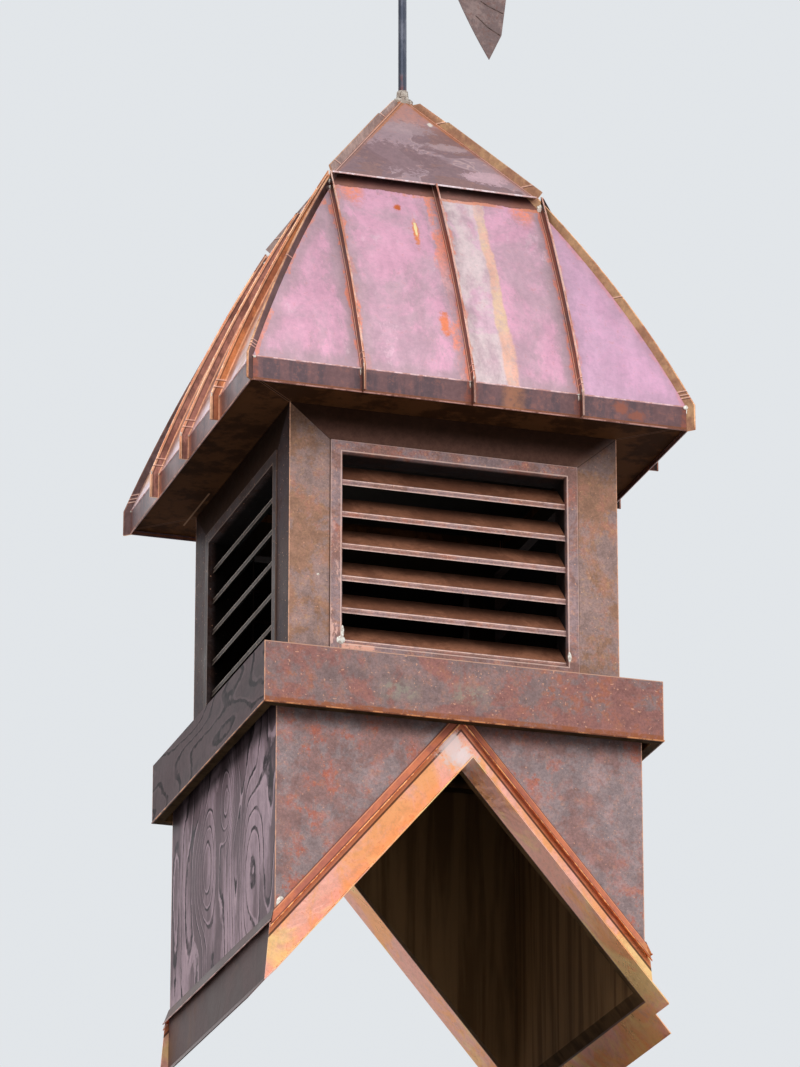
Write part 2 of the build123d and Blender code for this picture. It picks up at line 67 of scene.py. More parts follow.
# %% The roof's arc
FASCIA_HEIGHT = 0.052
ROOF_CURVE_RISE = 0.536
ROOF_TOP_HALF = 0.210
ROOF_SAGITTA = 0.013
eave_z = fascia_foot + FASCIA_HEIGHT
roof_top_z = eave_z + ROOF_CURVE_RISE
chord_in = eave_half - ROOF_TOP_HALF
chord = math.hypot(chord_in, ROOF_CURVE_RISE)
curve_radius = chord**2 / (8 * ROOF_SAGITTA) + ROOF_SAGITTA / 2
centre_h = (eave_half + ROOF_TOP_HALF) / 2 - (curve_radius - ROOF_SAGITTA) * ROOF_CURVE_RISE / chord
centre_z = (eave_z + roof_top_z) / 2 - (curve_radius - ROOF_SAGITTA) * chord_in / chord


def roof_half(z, above=0.0):
    """How far out from the centre the roof's sheet, or a line above it, is at a height."""
    return centre_h + math.sqrt((curve_radius + above) ** 2 - (z - centre_z) ** 2)


print("roof half at the eave and the cap", round(roof_half(eave_z), 4), round(roof_half(roof_top_z), 4))

# %% [markdown]
# The camera stands on the ground and looks up at the roof, a long way off with a long lens, so the
# upright lines stay nearly parallel. Its place and lens were worked out from the cupola's straight
# edges in the photograph.

# %% Camera
TARGET = Vector((-0.00536, 0, 1.13710))
CAMERA_PLACE = Vector((-3.36451, -10.58761, -3.01904))
camera = bpy.data.objects.new("camera", bpy.data.cameras.new("camera"))
bpy.context.scene.collection.objects.link(camera)
camera.location = CAMERA_PLACE
camera.rotation_euler = (TARGET - CAMERA_PLACE).to_track_quat("-Z", "Y").to_euler()
camera.data.sensor_width = 36
camera.data.lens = 192.9
camera.data.clip_end = 200
bpy.context.scene.camera = camera
print("camera distance", round((TARGET - CAMERA_PLACE).length, 3))

# %% [markdown]
# The light is plain and comes from large soft lamps, because small ones would show as white spots in
# the copper: one for the bright sky over the front, a weaker one from the right, one over the back,
# and a low one for what the pale ground throws back. The world lights the shadows evenly and shows
# the camera, and the metal's reflections, a pale grey.

# %% Lamps
LAMPS = {
    "sky_lamp": ((-2.5, -5.5, 6.5), 1.4, 8.0, 430),
    "side_lamp": ((6.0, -2.5, 3.5), 1.2, 6.0, 170),
    "ground_lamp": ((0.8, -6.5, -2.0), 1.0, 3.0, 60),
    "back_lamp": ((1.5, 6.0, 5.0), 1.4, 8.0, 230),
}
for name, (place, aim_z, size, power) in LAMPS.items():
    lamp = bpy.data.objects.new(name, bpy.data.lights.new(name, "AREA"))
    bpy.context.scene.collection.objects.link(lamp)
    lamp.location = place
    lamp.rotation_euler = (Vector((0, 0, aim_z)) - Vector(place)).to_track_quat("-Z", "Y").to_euler()
    lamp.data.size = size
    lamp.data.energy = power
    lamp.visible_camera = False
print("lamps", list(LAMPS))

# %% Background
SKY_LIGHT, SKY_LIGHT_STRENGTH = (0.95, 0.96, 1.0, 1), 0.42
SKY_SEEN, SKY_SEEN_STRENGTH = (0.80, 0.83, 0.86, 1), 0.95


def link_all(tree, pairs):
    for start, end in pairs:
        tree.links.new(start, end)


def larger_of(tree, first, second):
    made = tree.nodes.new("ShaderNodeMath")
    made.operation = "MAXIMUM"
    link_all(tree, ((first, made.inputs[0]), (second, made.inputs[1])))
    return made.outputs[0]


world = bpy.data.worlds.new("pale_studio")
bpy.context.scene.world = world
world.use_nodes = True
world.node_tree.nodes.clear()
sky = world.node_tree
shown = []
for tone, strength in ((SKY_LIGHT, SKY_LIGHT_STRENGTH), (SKY_SEEN, SKY_SEEN_STRENGTH)):
    background = sky.nodes.new("ShaderNodeBackground")
    background.inputs["Color"].default_value = tone
    background.inputs["Strength"].default_value = strength
    shown.append(background.outputs[0])
ray = sky.nodes.new("ShaderNodeLightPath").outputs
seen = larger_of(sky, ray["Is Camera Ray"], ray["Is Glossy Ray"])
seen = larger_of(sky, seen, ray["Is Transmission Ray"])
choose = sky.nodes.new("ShaderNodeMixShader")
sky_out = sky.nodes.new("ShaderNodeOutputWorld")
link_all(sky, zip((seen, *shown, choose.outputs[0]), (*choose.inputs, sky_out.inputs["Surface"])))
bpy.context.scene.view_settings.view_transform = "Standard"
print("background", SKY_SEEN[:3])

# %% [markdown]
# The cupola stands on a plain pale floor, which takes its shadow. The camera is lower than the floor
# and looks up through it, and one lamp shines from below it, so the floor is one-sided: its underside
# and the rays that look for a lamp go straight through. The plane is cut into a grid and its outer
# ring is turned up a little, so that the floor has no hard edge from above.

# %% Floor
FLOOR_SIZE, FLOOR_CUTS, FLOOR_EDGE_RISE = 24.0, 12, 0.4
bpy.ops.object.select_all(action="DESELECT")
bpy.ops.mesh.primitive_grid_add(x_subdivisions=FLOOR_CUTS, y_subdivisions=FLOOR_CUTS, size=FLOOR_SIZE)
floor = bpy.context.object
floor.name = floor.data.name = "floor"
for corner in floor.data.vertices:
    if max(abs(corner.co.x), abs(corner.co.y)) > 0.49 * FLOOR_SIZE:
        corner.co.z = FLOOR_EDGE_RISE
floor_material = bpy.data.materials.new("pale_floor")
floor_material.use_nodes = True
floor_tree = floor_material.node_tree
floor_paint = floor_tree.nodes["Principled BSDF"]
floor_paint.inputs["Base Color"].default_value = (0.78, 0.78, 0.76, 1)
floor_paint.inputs["Roughness"].default_value = 0.9
clear = floor_tree.nodes.new("ShaderNodeBsdfTransparent")
under = floor_tree.nodes.new("ShaderNodeNewGeometry").outputs["Backfacing"]
for_lamp = floor_tree.nodes.new("ShaderNodeLightPath").outputs["Is Shadow Ray"]
pick = floor_tree.nodes.new("ShaderNodeMixShader")
shown = (larger_of(floor_tree, under, for_lamp), floor_paint.outputs[0], clear.outputs[0], pick.outputs[0])
link_all(floor_tree, zip(shown, (*pick.inputs, floor_tree.nodes["Material Output"].inputs["Surface"])))
floor.data.materials.append(floor_material)
print("floor", FLOOR_SIZE, "m wide")

# %% [markdown]
# Copper goes through brown, mauve, pink and orange as it ages, and one sheet shows them all in
# clouds, streaks and specks. Each finish is a node material on the object's own coordinates. Two
# small classes keep the nodes short to write: a value is a node's output, and sums and ramps of
# values add the nodes they need. A finish keeps its colour so far as its tone, and each further
# colour is laid over the tone, as strongly as one or more values say.

# %% Classes for finishes
GRAIN_LOW, GRAIN_HIGH = 0.3, 0.7


def colour(red, green, blue):
    """Linear colour from the 0-255 values that a paint chart gives."""
    shares = (red / 255, green / 255, blue / 255)
    linear = [v / 12.92 if v <= 10 / 255 else ((v + 0.055) / 1.055) ** 2.4 for v in shares]
    return (*linear, 1)


class Value:
    """A node's output that can be reckoned with like a number; each step adds a node."""

    def __init__(self, finish, socket):
        self.finish, self.socket, self.node = finish, socket, socket.node

    def __add__(self, other):
        return self.finish.sum("ADD", self, other)

    def __radd__(self, other):
        return self.finish.sum("ADD", other, self)

    def __sub__(self, other):
        return self.finish.sum("SUBTRACT", self, other)

    def __rsub__(self, other):
        return self.finish.sum("SUBTRACT", other, self)

    def __mul__(self, other):
        return self.finish.sum("MULTIPLY", self, other)

    def __truediv__(self, other):
        return self.finish.sum("DIVIDE", self, other)

    def __abs__(self):
        return self.finish.sum("ABSOLUTE", self)

    def ramp(self, low, high, to_low=0.0, to_high=1.0):
        """Goes smoothly from one number to another as the value goes from low to high."""
        made = self.finish.make("MapRange", self, low, high, to_low, to_high)
        made.node.interpolation_type = "SMOOTHSTEP"
        return made

    def fade(self, low, high, most=1.0):
        """Falls smoothly to 0 as the value goes from low to high."""
        return self.ramp(low, high, most, 0.0)

    def line(self, at, half_width, soft):
        """1 within a half width of a place, falling to 0 over a soft edge."""
        return abs(self - at).fade(half_width, half_width + soft)

    def between(self, low, high, soft=0.0005):
        return self.line((low + high) / 2, (high - low) / 2, soft)


class Finish:
    """A node material that is built up call by call on object coordinates."""

    def __init__(self, name, metallic=0.6, roughness=0.4, specular=0.5):
        self.material = bpy.data.materials.new(name)
        self.material.use_nodes = True
        self.tree = self.material.node_tree
        self.shader = self.tree.nodes["Principled BSDF"]
        settings = {"Metallic": metallic, "Roughness": roughness, "Specular IOR Level": specular}
        for setting, value in settings.items():
            self.shader.inputs[setting].default_value = value
        self.place = self.make("TexCoord", output="Object")
        self.x, self.y, self.z = self.split(self.place)
        self.noises = 0

    def feed(self, socket, value):
        """Links a value to a socket, or sets it to a number or to a chart colour of three numbers."""
        if isinstance(value, Value):
            self.tree.links.new(value.socket, socket)
        else:
            chart_colour = isinstance(value, tuple) and len(value) == 3
            socket.default_value = colour(*value) if chart_colour else value

    def make(self, kind, *values, output=0, **settings):
        """Adds a node with its settings, feeds its inputs in order and gives back one output."""
        made = self.tree.nodes.new("ShaderNode" + kind)
        for setting, choice in settings.items():
            setattr(made, setting, choice)
        for socket, value in zip(made.inputs, values):
            self.feed(socket, value)
        return Value(self, made.outputs[output])

    def split(self, vector):
        parts = self.make("SeparateXYZ", vector).node.outputs
        return [Value(self, part) for part in parts]

    def facing(self):
        """The way a face looks, as three numbers."""
        return self.split(self.make("NewGeometry", output="Normal"))

    def sum(self, operation, *values):
        return self.make("Math", *values, operation=operation)

    def length(self, across, upward):
        return self.sum("SQRT", across * across + upward * upward)

    def either(self, *amounts):
        made = amounts[0]
        for amount in amounts[1:]:
            made = self.sum("MAXIMUM", made, amount)
        return made

    def cloud(self, scale, stretch=(1, 1, 1), detail=3, roughness=0.55, distortion=0.0):
        """Noise of about that many cells a metre, stretched; each call has its own place."""
        self.noises += 1
        place = (1.7 * self.noises, 2.3 * self.noises, -1.1 * self.noises)
        mapped = self.make("Mapping", self.place, vector_type="TEXTURE")
        mapped.node.inputs["Location"].default_value = place
        mapped.node.inputs["Scale"].default_value = [1 / amount for amount in stretch]
        noise = self.make("TexNoise", mapped)
        settings = {"Scale": scale, "Detail": detail, "Roughness": roughness, "Distortion": distortion}
        for setting, number in settings.items():
            noise.node.inputs[setting].default_value = number
        return noise

    def mix(self, amount, under, over, blend="MIX"):
        made = self.make("Mix", amount, output=2, data_type="RGBA", blend_type=blend)
        self.feed(made.node.inputs[6], under)
        self.feed(made.node.inputs[7], over)
        return made

    def blend(self, value, low, high, first, second):
        """One colour where the value is low and another where it is high."""
        return self.mix(value.ramp(low, high), first, second)

    def shade(self, tone, factor):
        """The colour times a number, lighter above 1 and darker below."""
        grey = factor if isinstance(factor, Value) else (factor, factor, factor, 1)
        return self.mix(1.0, tone, grey, "MULTIPLY")

    def grained(self, tone, noise, low, high):
        return self.shade(tone, noise.ramp(GRAIN_LOW, GRAIN_HIGH, low, high))

    def lay(self, over, *amounts):
        """Lays a colour over the tone, where all the amounts agree."""
        amount = amounts[0]
        for other in amounts[1:]:
            amount = amount * other
        self.tone = self.mix(amount, self.tone, over)

    def darken(self, factor):
        self.tone = self.shade(self.tone, factor)

    def vary(self, noise, low, high):
        self.tone = self.grained(self.tone, noise, low, high)

    def paint(self):
        self.feed(self.shader.inputs["Base Color"], self.tone)

    def gloss(self, value, low, high, dull=None):
        """Roughness between two numbers, as the value goes from 0 to 1; fully rough where it is dull."""
        rough = value.ramp(GRAIN_LOW, GRAIN_HIGH, low, high)
        self.feed(self.shader.inputs["Roughness"], rough if dull is None else self.either(rough, dull))

    def dents(self, height, strength, distance):
        bump = self.tree.nodes.new("ShaderNodeBump")
        for setting, value in (("Strength", strength), ("Distance", distance), ("Height", height)):
            self.feed(bump.inputs[setting], value)
        self.tree.links.new(bump.outputs[0], self.shader.inputs["Normal"])

    def waves(self, grain=0.05, scale=4.5, strength=0.3):
        """Dents in long waves, with a little of the fine noise on them."""
        self.dents(self.sum("MULTIPLY_ADD", self.fine, grain, self.cloud(scale, detail=2)), strength, 0.012)


dressed = []


def dress(finish, *node_names):
    """Gives CAD nodes a finish on their own material slots."""
    dressed.extend(node_names)
    for node_name in node_names:
        materials = nodes[node_name].data.materials
        materials.clear()
        materials.append(finish.material)


def around(name, *sides):
    """The names of a node on some of the sides."""
    return [f"{name}_{side}" for side in sides]


print("colour check", [round(v, 3) for v in colour(205, 150, 160)])

# %% [markdown]
# Most of the walls have gone brown: a warm brown ground with crisp grey clouds, rust-red blotches,
# ochre specks and a fine grain over it all. One recipe with its colours as values serves the belt, the
# boxes and the louvres. The sheet is thin over plywood, so the same finish turns to bare board on the
# inner faces, which is where the distance from the axis is less than the wall's outer face.

# %% Brown copper
PLYWOOD, PLYWOOD_GRAIN, SHADED_BOARD = (128, 98, 66), (98, 72, 46), (30, 22, 17)
EDGE_LIGHT, NEAR_BLACK, CRACK_BROWN = (224, 168, 138), (14, 9, 7), (86, 58, 50)
EDGE_HALF, EDGE_FADE, SHEET = 0.0010, 0.0012, 0.0015


def plywood_grain(finish):
    """Board with long darker grain along the height, painted dark as shade behind the louvres and above."""
    grain = finish.cloud(34, stretch=(1, 1, 0.06), detail=4, distortion=0.4)
    board = finish.blend(grain, 0.4, 0.65, PLYWOOD, PLYWOOD_GRAIN)
    painted_shade_above_belt = finish.z.ramp(belt_top - 0.02, belt_top + 0.01, 0.0, 0.97)
    return finish.mix(painted_shade_above_belt, board, SHADED_BOARD)


def box_distance(finish):
    """Distance from the upright axis to the box face that a point is on, square fashion."""
    return finish.sum("MAXIMUM", abs(finish.x), abs(finish.y))


def corner_distance(finish):
    """The smaller of the two sideways distances, which is how far along its face a point is."""
    return finish.sum("MINIMUM", abs(finish.x), abs(finish.y))


def mottle(finish, ground, grey, rust, ochre, specks):
    """Crisp clouds of grey, ragged rust, ochre specks and pale chips over a ground colour."""
    clouds = finish.clouds = finish.cloud(8.5, detail=8, roughness=0.74, distortion=0.3)
    regions = finish.cloud(3.6, detail=6, roughness=0.7)
    medium = finish.cloud(24, detail=8, roughness=0.76)
    fine = finish.fine = finish.cloud(62, detail=7, roughness=0.8)
    grain = finish.cloud(190, detail=4, roughness=0.8)
    finish.tone = finish.blend(clouds, 0.46, 0.54, ground, grey)
    rusty = medium.ramp(0.5, 0.57) * regions.ramp(0.42, 0.58, 0.15, 0.95)
    finish.lay(rust, rusty, fine.ramp(0.42, 0.52, 0.35, 1.0))
    finish.lay(ochre, fine.ramp(0.53, 0.58), medium.ramp(0.4, 0.55, 0.15, 1.0), specks)
    finish.vary(medium, 0.74, 1.24)
    finish.vary(grain, 0.82, 1.18)
    crack = finish.cloud(34, detail=5, roughness=0.7).line(0.5, 0.004, 0.004)
    finish.lay(CRACK_BROWN, crack, clouds.ramp(0.46, 0.56), 0.3)
    finish.lay(EDGE_LIGHT, finish.cloud(210, detail=0).ramp(0.77, 0.81, 0.0, 0.6))


def clad(finish, outer_half):
    """Adds a painted corner highlight, the bare board behind the sheet and painted shade on faces looking
    down.
    """
    # Painted highlight: a thin light line along each corner of the box.
    edge = corner_distance(finish).line(outer_half, EDGE_HALF, EDGE_FADE)
    finish.lay(EDGE_LIGHT, edge, finish.fine.ramp(0.42, 0.55, 0.3, 0.95))
    bare = box_distance(finish).fade(outer_half - 2 * SHEET, outer_half - SHEET)
    finish.lay(plywood_grain(finish), bare)
    # Painted shade on faces that look down.
    finish.darken(finish.facing()[2].ramp(-0.8, -0.4, 0.2, 1.0))
    finish.paint()
    finish.gloss(finish.clouds, 0.40, 0.56, bare)
    finish.waves()


print("brown recipe ready")

# %% [markdown]
# The louvred storey sits deep under the eave. Its header, between the trim and the soffit, is painted
# almost black as the eave's shade, and it meets the two stiles in a slanting joint at each top corner.
# The trim was fitted over the sheet, and a thin dark line round it is painted as its shadow.

# %% Copper of the louvred storey's walls
FLANGE, OPENING_HALF = 0.022, 0.240
trim_half = trim_high.x
opening_foot, opening_top = trim_low.z + FLANGE, trim_high.z - FLANGE
MITRE_RUN = (box_half - trim_half) / (soffit_z - trim_high.z)
HEADER_FADE, MITRE_SHARP, MITRE_SOFT = 0.052, 0.001, 0.030


def ring_distance(finish, half, foot, top):
    """How far outside an upright rectangle on the wall a point is; below 0 inside it."""
    sideways = corner_distance(finish) - half
    return finish.either(sideways, foot - finish.z, finish.z - top)


def storey_copper(name, tones, header_shade_low, header_shade_high, metallic=0.4, specular=0.12):
    """Header painted dark as the eave's shade: a sharp joint at the left corner, a soft fade at the right.
    """
    finish = Finish(name, metallic=metallic, specular=specular)
    mottle(finish, *tones)
    # Painted shade of the eave: the walls grow darker towards the soffit.
    finish.darken(finish.z.ramp(soffit_z - 0.13, soffit_z - 0.01, 1.0, 0.46))
    rise = finish.z - trim_high.z
    joint = finish.sum("MULTIPLY_ADD", rise, MITRE_RUN, trim_half)
    from_mitre = corner_distance(finish) - joint
    above = rise.ramp(0.0, 0.001)
    on_right = finish.x.ramp(0.0, 0.05)
    sharp = from_mitre.fade(-MITRE_SHARP, MITRE_SHARP) * (1.0 - on_right)
    soft = from_mitre.fade(-MITRE_SOFT, MITRE_SOFT) * on_right
    # Painted shade: the header is dark from the trim up to the soffit.
    header = finish.blend(rise, 0.0, HEADER_FADE, header_shade_low, header_shade_high)
    finish.lay(finish.grained(header, finish.fine, 0.75, 1.25), above, sharp + soft)
    finish.lay(NEAR_BLACK, above, from_mitre.line(0.0, 0.0008, 0.0008), 0.6)
    # Painted shadow of the trim: a thin dark line round its outside.
    outside = ring_distance(finish, trim_half, trim_low.z, trim_high.z)
    finish.lay((58, 34, 26), outside.fade(0.0014, 0.0026, 0.7))
    clad(finish, box_half)
    return finish


BOX_TONES = (156, 118, 98), (156, 130, 124), (156, 108, 92), (176, 138, 102), 0.45
SHADE_TONES = (72, 54, 51), (77, 64, 66), (61, 38, 33), (96, 71, 61), 0.3
box_copper = storey_copper("box_copper", BOX_TONES, (98, 68, 58), (40, 22, 13))
shade_copper = storey_copper("shade_copper", SHADE_TONES, (42, 22, 10), (26, 13, 6), 0.15, 0.04)
dress(box_copper, *around("louvre_wall", *LIT_SIDES))
dress(shade_copper, "louvre_wall_left")
print("opening", OPENING_HALF, round(opening_foot, 4), round(opening_top, 4))

# %% Trims
SCRATCH_REACH, RUBBED_FROM, RUBBED_TO, RUBBED_TOP = 0.30, -0.236, -0.172, 0.760


def trim_copper(name, tones, lit, depth_dark, scratches=0.0):
    """The flange is clean and pale, its edges get painted highlights, and the lining gets painted shade
    with depth.
    """
    finish = Finish(name, metallic=0.4, specular=0.12)
    mottle(finish, *tones, 0.5)
    if scratches:
        near_foot = finish.z.ramp(opening_foot, opening_foot + SCRATCH_REACH, 1.0, 0.35)
        left_leg = finish.x.fade(-OPENING_HALF, -OPENING_HALF + 0.001)
        bare = finish.cloud(30, stretch=(1, 1, 0.5), detail=7, roughness=0.78).ramp(0.53, 0.57)
        finish.lay((230, 184, 170), near_foot, left_leg, bare, scratches)
        rubbed = finish.x.between(RUBBED_FROM, RUBBED_TO, 0.005)
        rubbed = rubbed * finish.z.fade(RUBBED_TOP - 0.004, RUBBED_TOP)
        finish.lay((236, 176, 154), rubbed, finish.fine.ramp(0.42, 0.5, 0.3, 0.95))
    # Painted highlights along the opening's edge and the flange's outer edge; painted shade deeper in the
    # lining.
    inside = ring_distance(finish, OPENING_HALF, opening_foot, opening_top)
    finish.lay(lit, inside.between(-0.0004, 0.0012), 0.7)
    outer = ring_distance(finish, trim_half, trim_low.z, trim_high.z)
    finish.lay(lit, outer.ramp(-0.0016, -0.0006), 0.45)
    depth = box_half + 0.003 - box_distance(finish)
    finish.darken(depth.ramp(0.0035, 0.02, 1.0, depth_dark))
    finish.paint()
    finish.gloss(finish.clouds, 0.4, 0.56, depth.ramp(0.0035, 0.01))
    finish.waves()
    return finish


TRIM_TONES = (148, 112, 104), (156, 132, 132), (158, 102, 90), (190, 142, 118)
DARK_TRIM = (60, 44, 40), (74, 62, 62), (58, 36, 30), (84, 62, 52)
TRIM_LIT, DARK_TRIM_LIT = (228, 194, 180), (138, 112, 98)
dress(trim_copper("trim_copper", TRIM_TONES, TRIM_LIT, 0.05), *around("louvre_frame", "right", "back"))
dress(trim_copper("scratched_trim_copper", TRIM_TONES, TRIM_LIT, 0.05, 0.8), "louvre_frame_front")
dress(trim_copper("shaded_trim_copper", DARK_TRIM, DARK_TRIM_LIT, 0.08), "louvre_frame_left")
print("trims dressed")

# %% [markdown]
# A blade is a sloping sheet whose outer edge is bent down into a lip with a small hem at its foot.
# The lip catches the light: its top edge and its hem get painted highlights, with a painted shadow
# line above the hem, and its face is a pinkish grey. The slope behind it fades into the dark within a
# few centimetres as painted shade, so the depth does the shading there.

# %% Louvre blades
BLADE_ROWS, TOP_LIP_BELOW, FOOT_LIP_ABOVE = 6, 0.04525, 0.013
first_lip_z = blades_top - TOP_LIP_BELOW
blade_pitch = (first_lip_z - (opening_foot + FOOT_LIP_ABOVE)) / (BLADE_ROWS - 1)


def louvre_copper(name, lip_tones, top_highlight, foot_highlight, slope_tones):
    finish = Finish(name, metallic=0.25, specular=0.10)
    mottle(finish, *lip_tones, 0.4)
    rows = (finish.z - first_lip_z) / blade_pitch
    below_top = (1.0 - finish.sum("FRACT", rows)) * blade_pitch
    depth = box_half - box_distance(finish)
    worn = finish.fine.ramp(0.4, 0.52, 0.45, 1.0)
    # Painted highlights on the lip's top edge and on its hem, with a painted shadow line above the hem.
    finish.lay(top_highlight, below_top.fade(0.0014, 0.0022), worn)
    finish.lay((70, 44, 36), below_top.between(0.006, 0.0072), 0.45)
    finish.lay(foot_highlight, below_top.between(0.0106, 0.0125), worn, 0.9)
    slope = finish.grained(finish.blend(finish.clouds, 0.44, 0.56, *slope_tones), finish.fine, 0.84, 1.16)
    # Painted shade: the slope darkens with its depth into the box.
    slope = finish.shade(slope, depth.ramp(0.012, 0.06, 1.0, 0.22))
    nx, ny, nz = finish.facing()
    outward = nx * finish.x + ny * finish.y
    finish.tone = finish.mix(depth.fade(0.0098, 0.0106), slope, finish.tone)
    # Painted shade on faces that look down and on faces that look into the box.
    under = nz.ramp(-0.5, -0.2, 0.08, 1.0)
    finish.darken(under * outward.ramp(-0.05, 0.0, 0.03, 1.0))
    finish.paint()
    finish.gloss(finish.clouds, 0.45, 0.6, depth.ramp(0.0106, 0.012))
    finish.dents(finish.fine, 0.2, 0.002)
    return finish


LIP_TONES = (160, 122, 112), (168, 138, 136), (150, 98, 84), (206, 154, 130)
DARK_LIPS = (54, 44, 40), (70, 60, 56), (48, 34, 28), (96, 82, 72)
SLOPE_TONES, DARK_SLOPES = ((150, 100, 76), (124, 80, 60)), ((30, 19, 14), (22, 14, 10))
lit_blades = louvre_copper("blade_copper", LIP_TONES, (240, 206, 192), (232, 198, 186), SLOPE_TONES)
dark_blades = louvre_copper("shaded_blade_copper", DARK_LIPS, (156, 142, 130), (132, 118, 106), DARK_SLOPES)
dress(lit_blades, *around("louvre_blades", *LIT_SIDES))
dress(dark_blades, "louvre_blades_left")
print("first lip", round(first_lip_z, 4), "pitch", round(blade_pitch, 4))

# %% Belt and base
BELT_TONES = (148, 104, 98), (138, 116, 114), (148, 94, 78), (172, 122, 92), 0.25
BELT_MARKS = ((-0.137, 0.644), (0.008, 0.649))
BASE_TONES = (150, 118, 114), (152, 134, 134), (164, 94, 78), (182, 128, 96), 0.3
belt = Finish("belt_copper", metallic=0.4, specular=0.12)
mottle(belt, *BELT_TONES)
rusty = (belt.z - belt_foot).between(0.002, 0.01, 0.004)
belt.lay((150, 90, 60), rusty, belt.fine.ramp(0.42, 0.52, 0.3, 0.9))
for at_x, at_z in BELT_MARKS:
    mark = abs(belt.x - at_x).fade(0.02, 0.05) * belt.z.line(at_z, 0.008, 0.02)
    belt.lay((150, 146, 132), mark, belt.fine.ramp(0.46, 0.54, 0.1, 0.6))
# Painted highlight: a light line along the belt's top edge.
belt.lay((206, 160, 136), belt.z.ramp(belt_top - 0.0022, belt_top - 0.0014), 0.75)
clad(belt, belt_half)
base = Finish("base_copper", metallic=0.4, specular=0.12)
mottle(base, *BASE_TONES)
# Painted shadow of the belt on the wall below it.
base.darken(base.z.ramp(belt_foot - 0.04, belt_foot - 0.002, 1.0, 0.35))
clad(base, base_half)
dress(belt, *around("belt", *LIT_SIDES))
dress(base, *around("base_wall", *LIT_SIDES))
print("dressed so far", len(dressed))

# %% [markdown]
# The left faces are in the shade and painted darker, and they carry long swirling rings like the
# figure of sawn wood, which are painted reflections in the sheet. Rings come from a very smooth noise
# that is multiplied and put through a sine: each level of the noise becomes one thin line, as on a map
# with contours. Ovals are the same trick on the distance from a point.

# %% Ringed copper on the left faces
LEFT_OVALS = ((0.126, 0.410, 0.07, 0.10), (-0.055, 0.5035, 0.06, 0.07), (-0.20, 0.30, 0.06, 0.14))
BASE_RINGS, BELT_RINGS = (15, (1, 1, 0.26)), (20, (1, 0.3, 1.3))
RING_LIFT, RING_REACH, LIGHT_LAG = 3.6, 1.8, -0.9


def oval_radius(finish, along, at, half_along, at_z, half_z):
    """0 at the middle of an oval and 1 on its rim."""
    across = (along - at) / half_along
    return finish.length(across, (finish.z - at_z) / half_z)


def ringed_copper(name, dark, light, ring, outer_half, rings, stretch, ovals=(), shadow_under_belt=1.0):
    finish = Finish(name, metallic=0.1, specular=0.05)
    wander = finish.cloud(26, detail=3, roughness=0.6)
    height = finish.cloud(4.6, stretch=stretch, detail=1.2, roughness=0.4)
    height = height * rings + wander * 0.45
    for at_y, at_z, half_y, half_z in ovals:
        radius = oval_radius(finish, finish.y, at_y, half_y, at_z, half_z)
        height = height + radius.fade(0.0, RING_REACH, RING_LIFT)
    turns = height * (2 * math.pi)
    wave, beside = finish.sum("SINE", turns), finish.sum("SINE", turns + LIGHT_LAG)
    finish.clouds = finish.cloud(5.0, stretch=stretch, detail=6, roughness=0.66)
    fine = finish.fine = finish.cloud(60, stretch=(1, 1, 0.5), detail=6, roughness=0.78)
    finish.tone = finish.blend(finish.clouds, 0.42, 0.58, dark, light)
    broken = wander.ramp(0.36, 0.56, 0.45, 1.0)
    # Painted reflections: a light line beside each ring, and the dark rings themselves.
    finish.lay(finish.shade(finish.mix(0.5, light, light), 1.3), beside.ramp(0.8, 0.98), broken, 0.6)
    finish.lay(ring, wave.ramp(0.74, 0.95), broken)
    finish.lay(ring, fine.ramp(0.56, 0.64, 0.0, 0.35))
    finish.vary(fine, 0.80, 1.20)
    # Painted shadow of the belt on the wall below it.
    finish.darken(finish.z.ramp(belt_foot - 0.045, belt_foot - 0.008, 1.0, shadow_under_belt))
    clad(finish, outer_half)
    return finish


LEFT_BASE = (110, 88, 94), (184, 158, 167), (50, 36, 41)
LEFT_BELT = (71, 57, 58), (95, 78, 80), (36, 25, 27)
left_base = ringed_copper("ringed_base_copper", *LEFT_BASE, base_half, *BASE_RINGS, LEFT_OVALS, 0.22)
left_belt = ringed_copper("ringed_belt_copper", *LEFT_BELT, belt_half, *BELT_RINGS)
dress(left_base, "base_wall_left")
dress(left_belt, "belt_left")
print("left faces", left_base.material.name, left_belt.material.name)

# %% [markdown]
# The roof is the brightest copper. Each pan is pink or mauve with a greyer border, and beside the
# seams the flux of the soldering has left ragged orange bands. A pan's place is told by the distance
# to the nearest seam, and below the bend at the eave the same sheet turns to a dark, streaked fascia.

# %% Roof copper
SEAM_SPACING = 2 * eave_half / 4
FASCIA_BROWN, FASCIA_GREY = (116, 86, 87), (98, 78, 82)
ROOT_LIGHT, ROOT_DARK = (244, 196, 176), (92, 52, 42)
UPPER_STAIN, LOWER_STAIN = (1.54, 1.68), (1.39, 1.47)


def seam_distance(finish, along):
    """Distance to the nearest standing seam, from the place along the eave."""
    steps = along / SEAM_SPACING
    return abs(steps - finish.sum("ROUND", steps)) * SEAM_SPACING


def oval(finish, along, at, half_along, at_z, half_z, soft=0.35):
    """1 inside a slightly ragged oval on a sheet, fading at its rim."""
    radius = oval_radius(finish, along, at, half_along, at_z, half_z)
    ragged = radius + finish.fine.ramp(GRAIN_LOW, GRAIN_HIGH, -0.5, 0.5)
    return ragged.fade(1.0 - soft, 1.0 + soft)


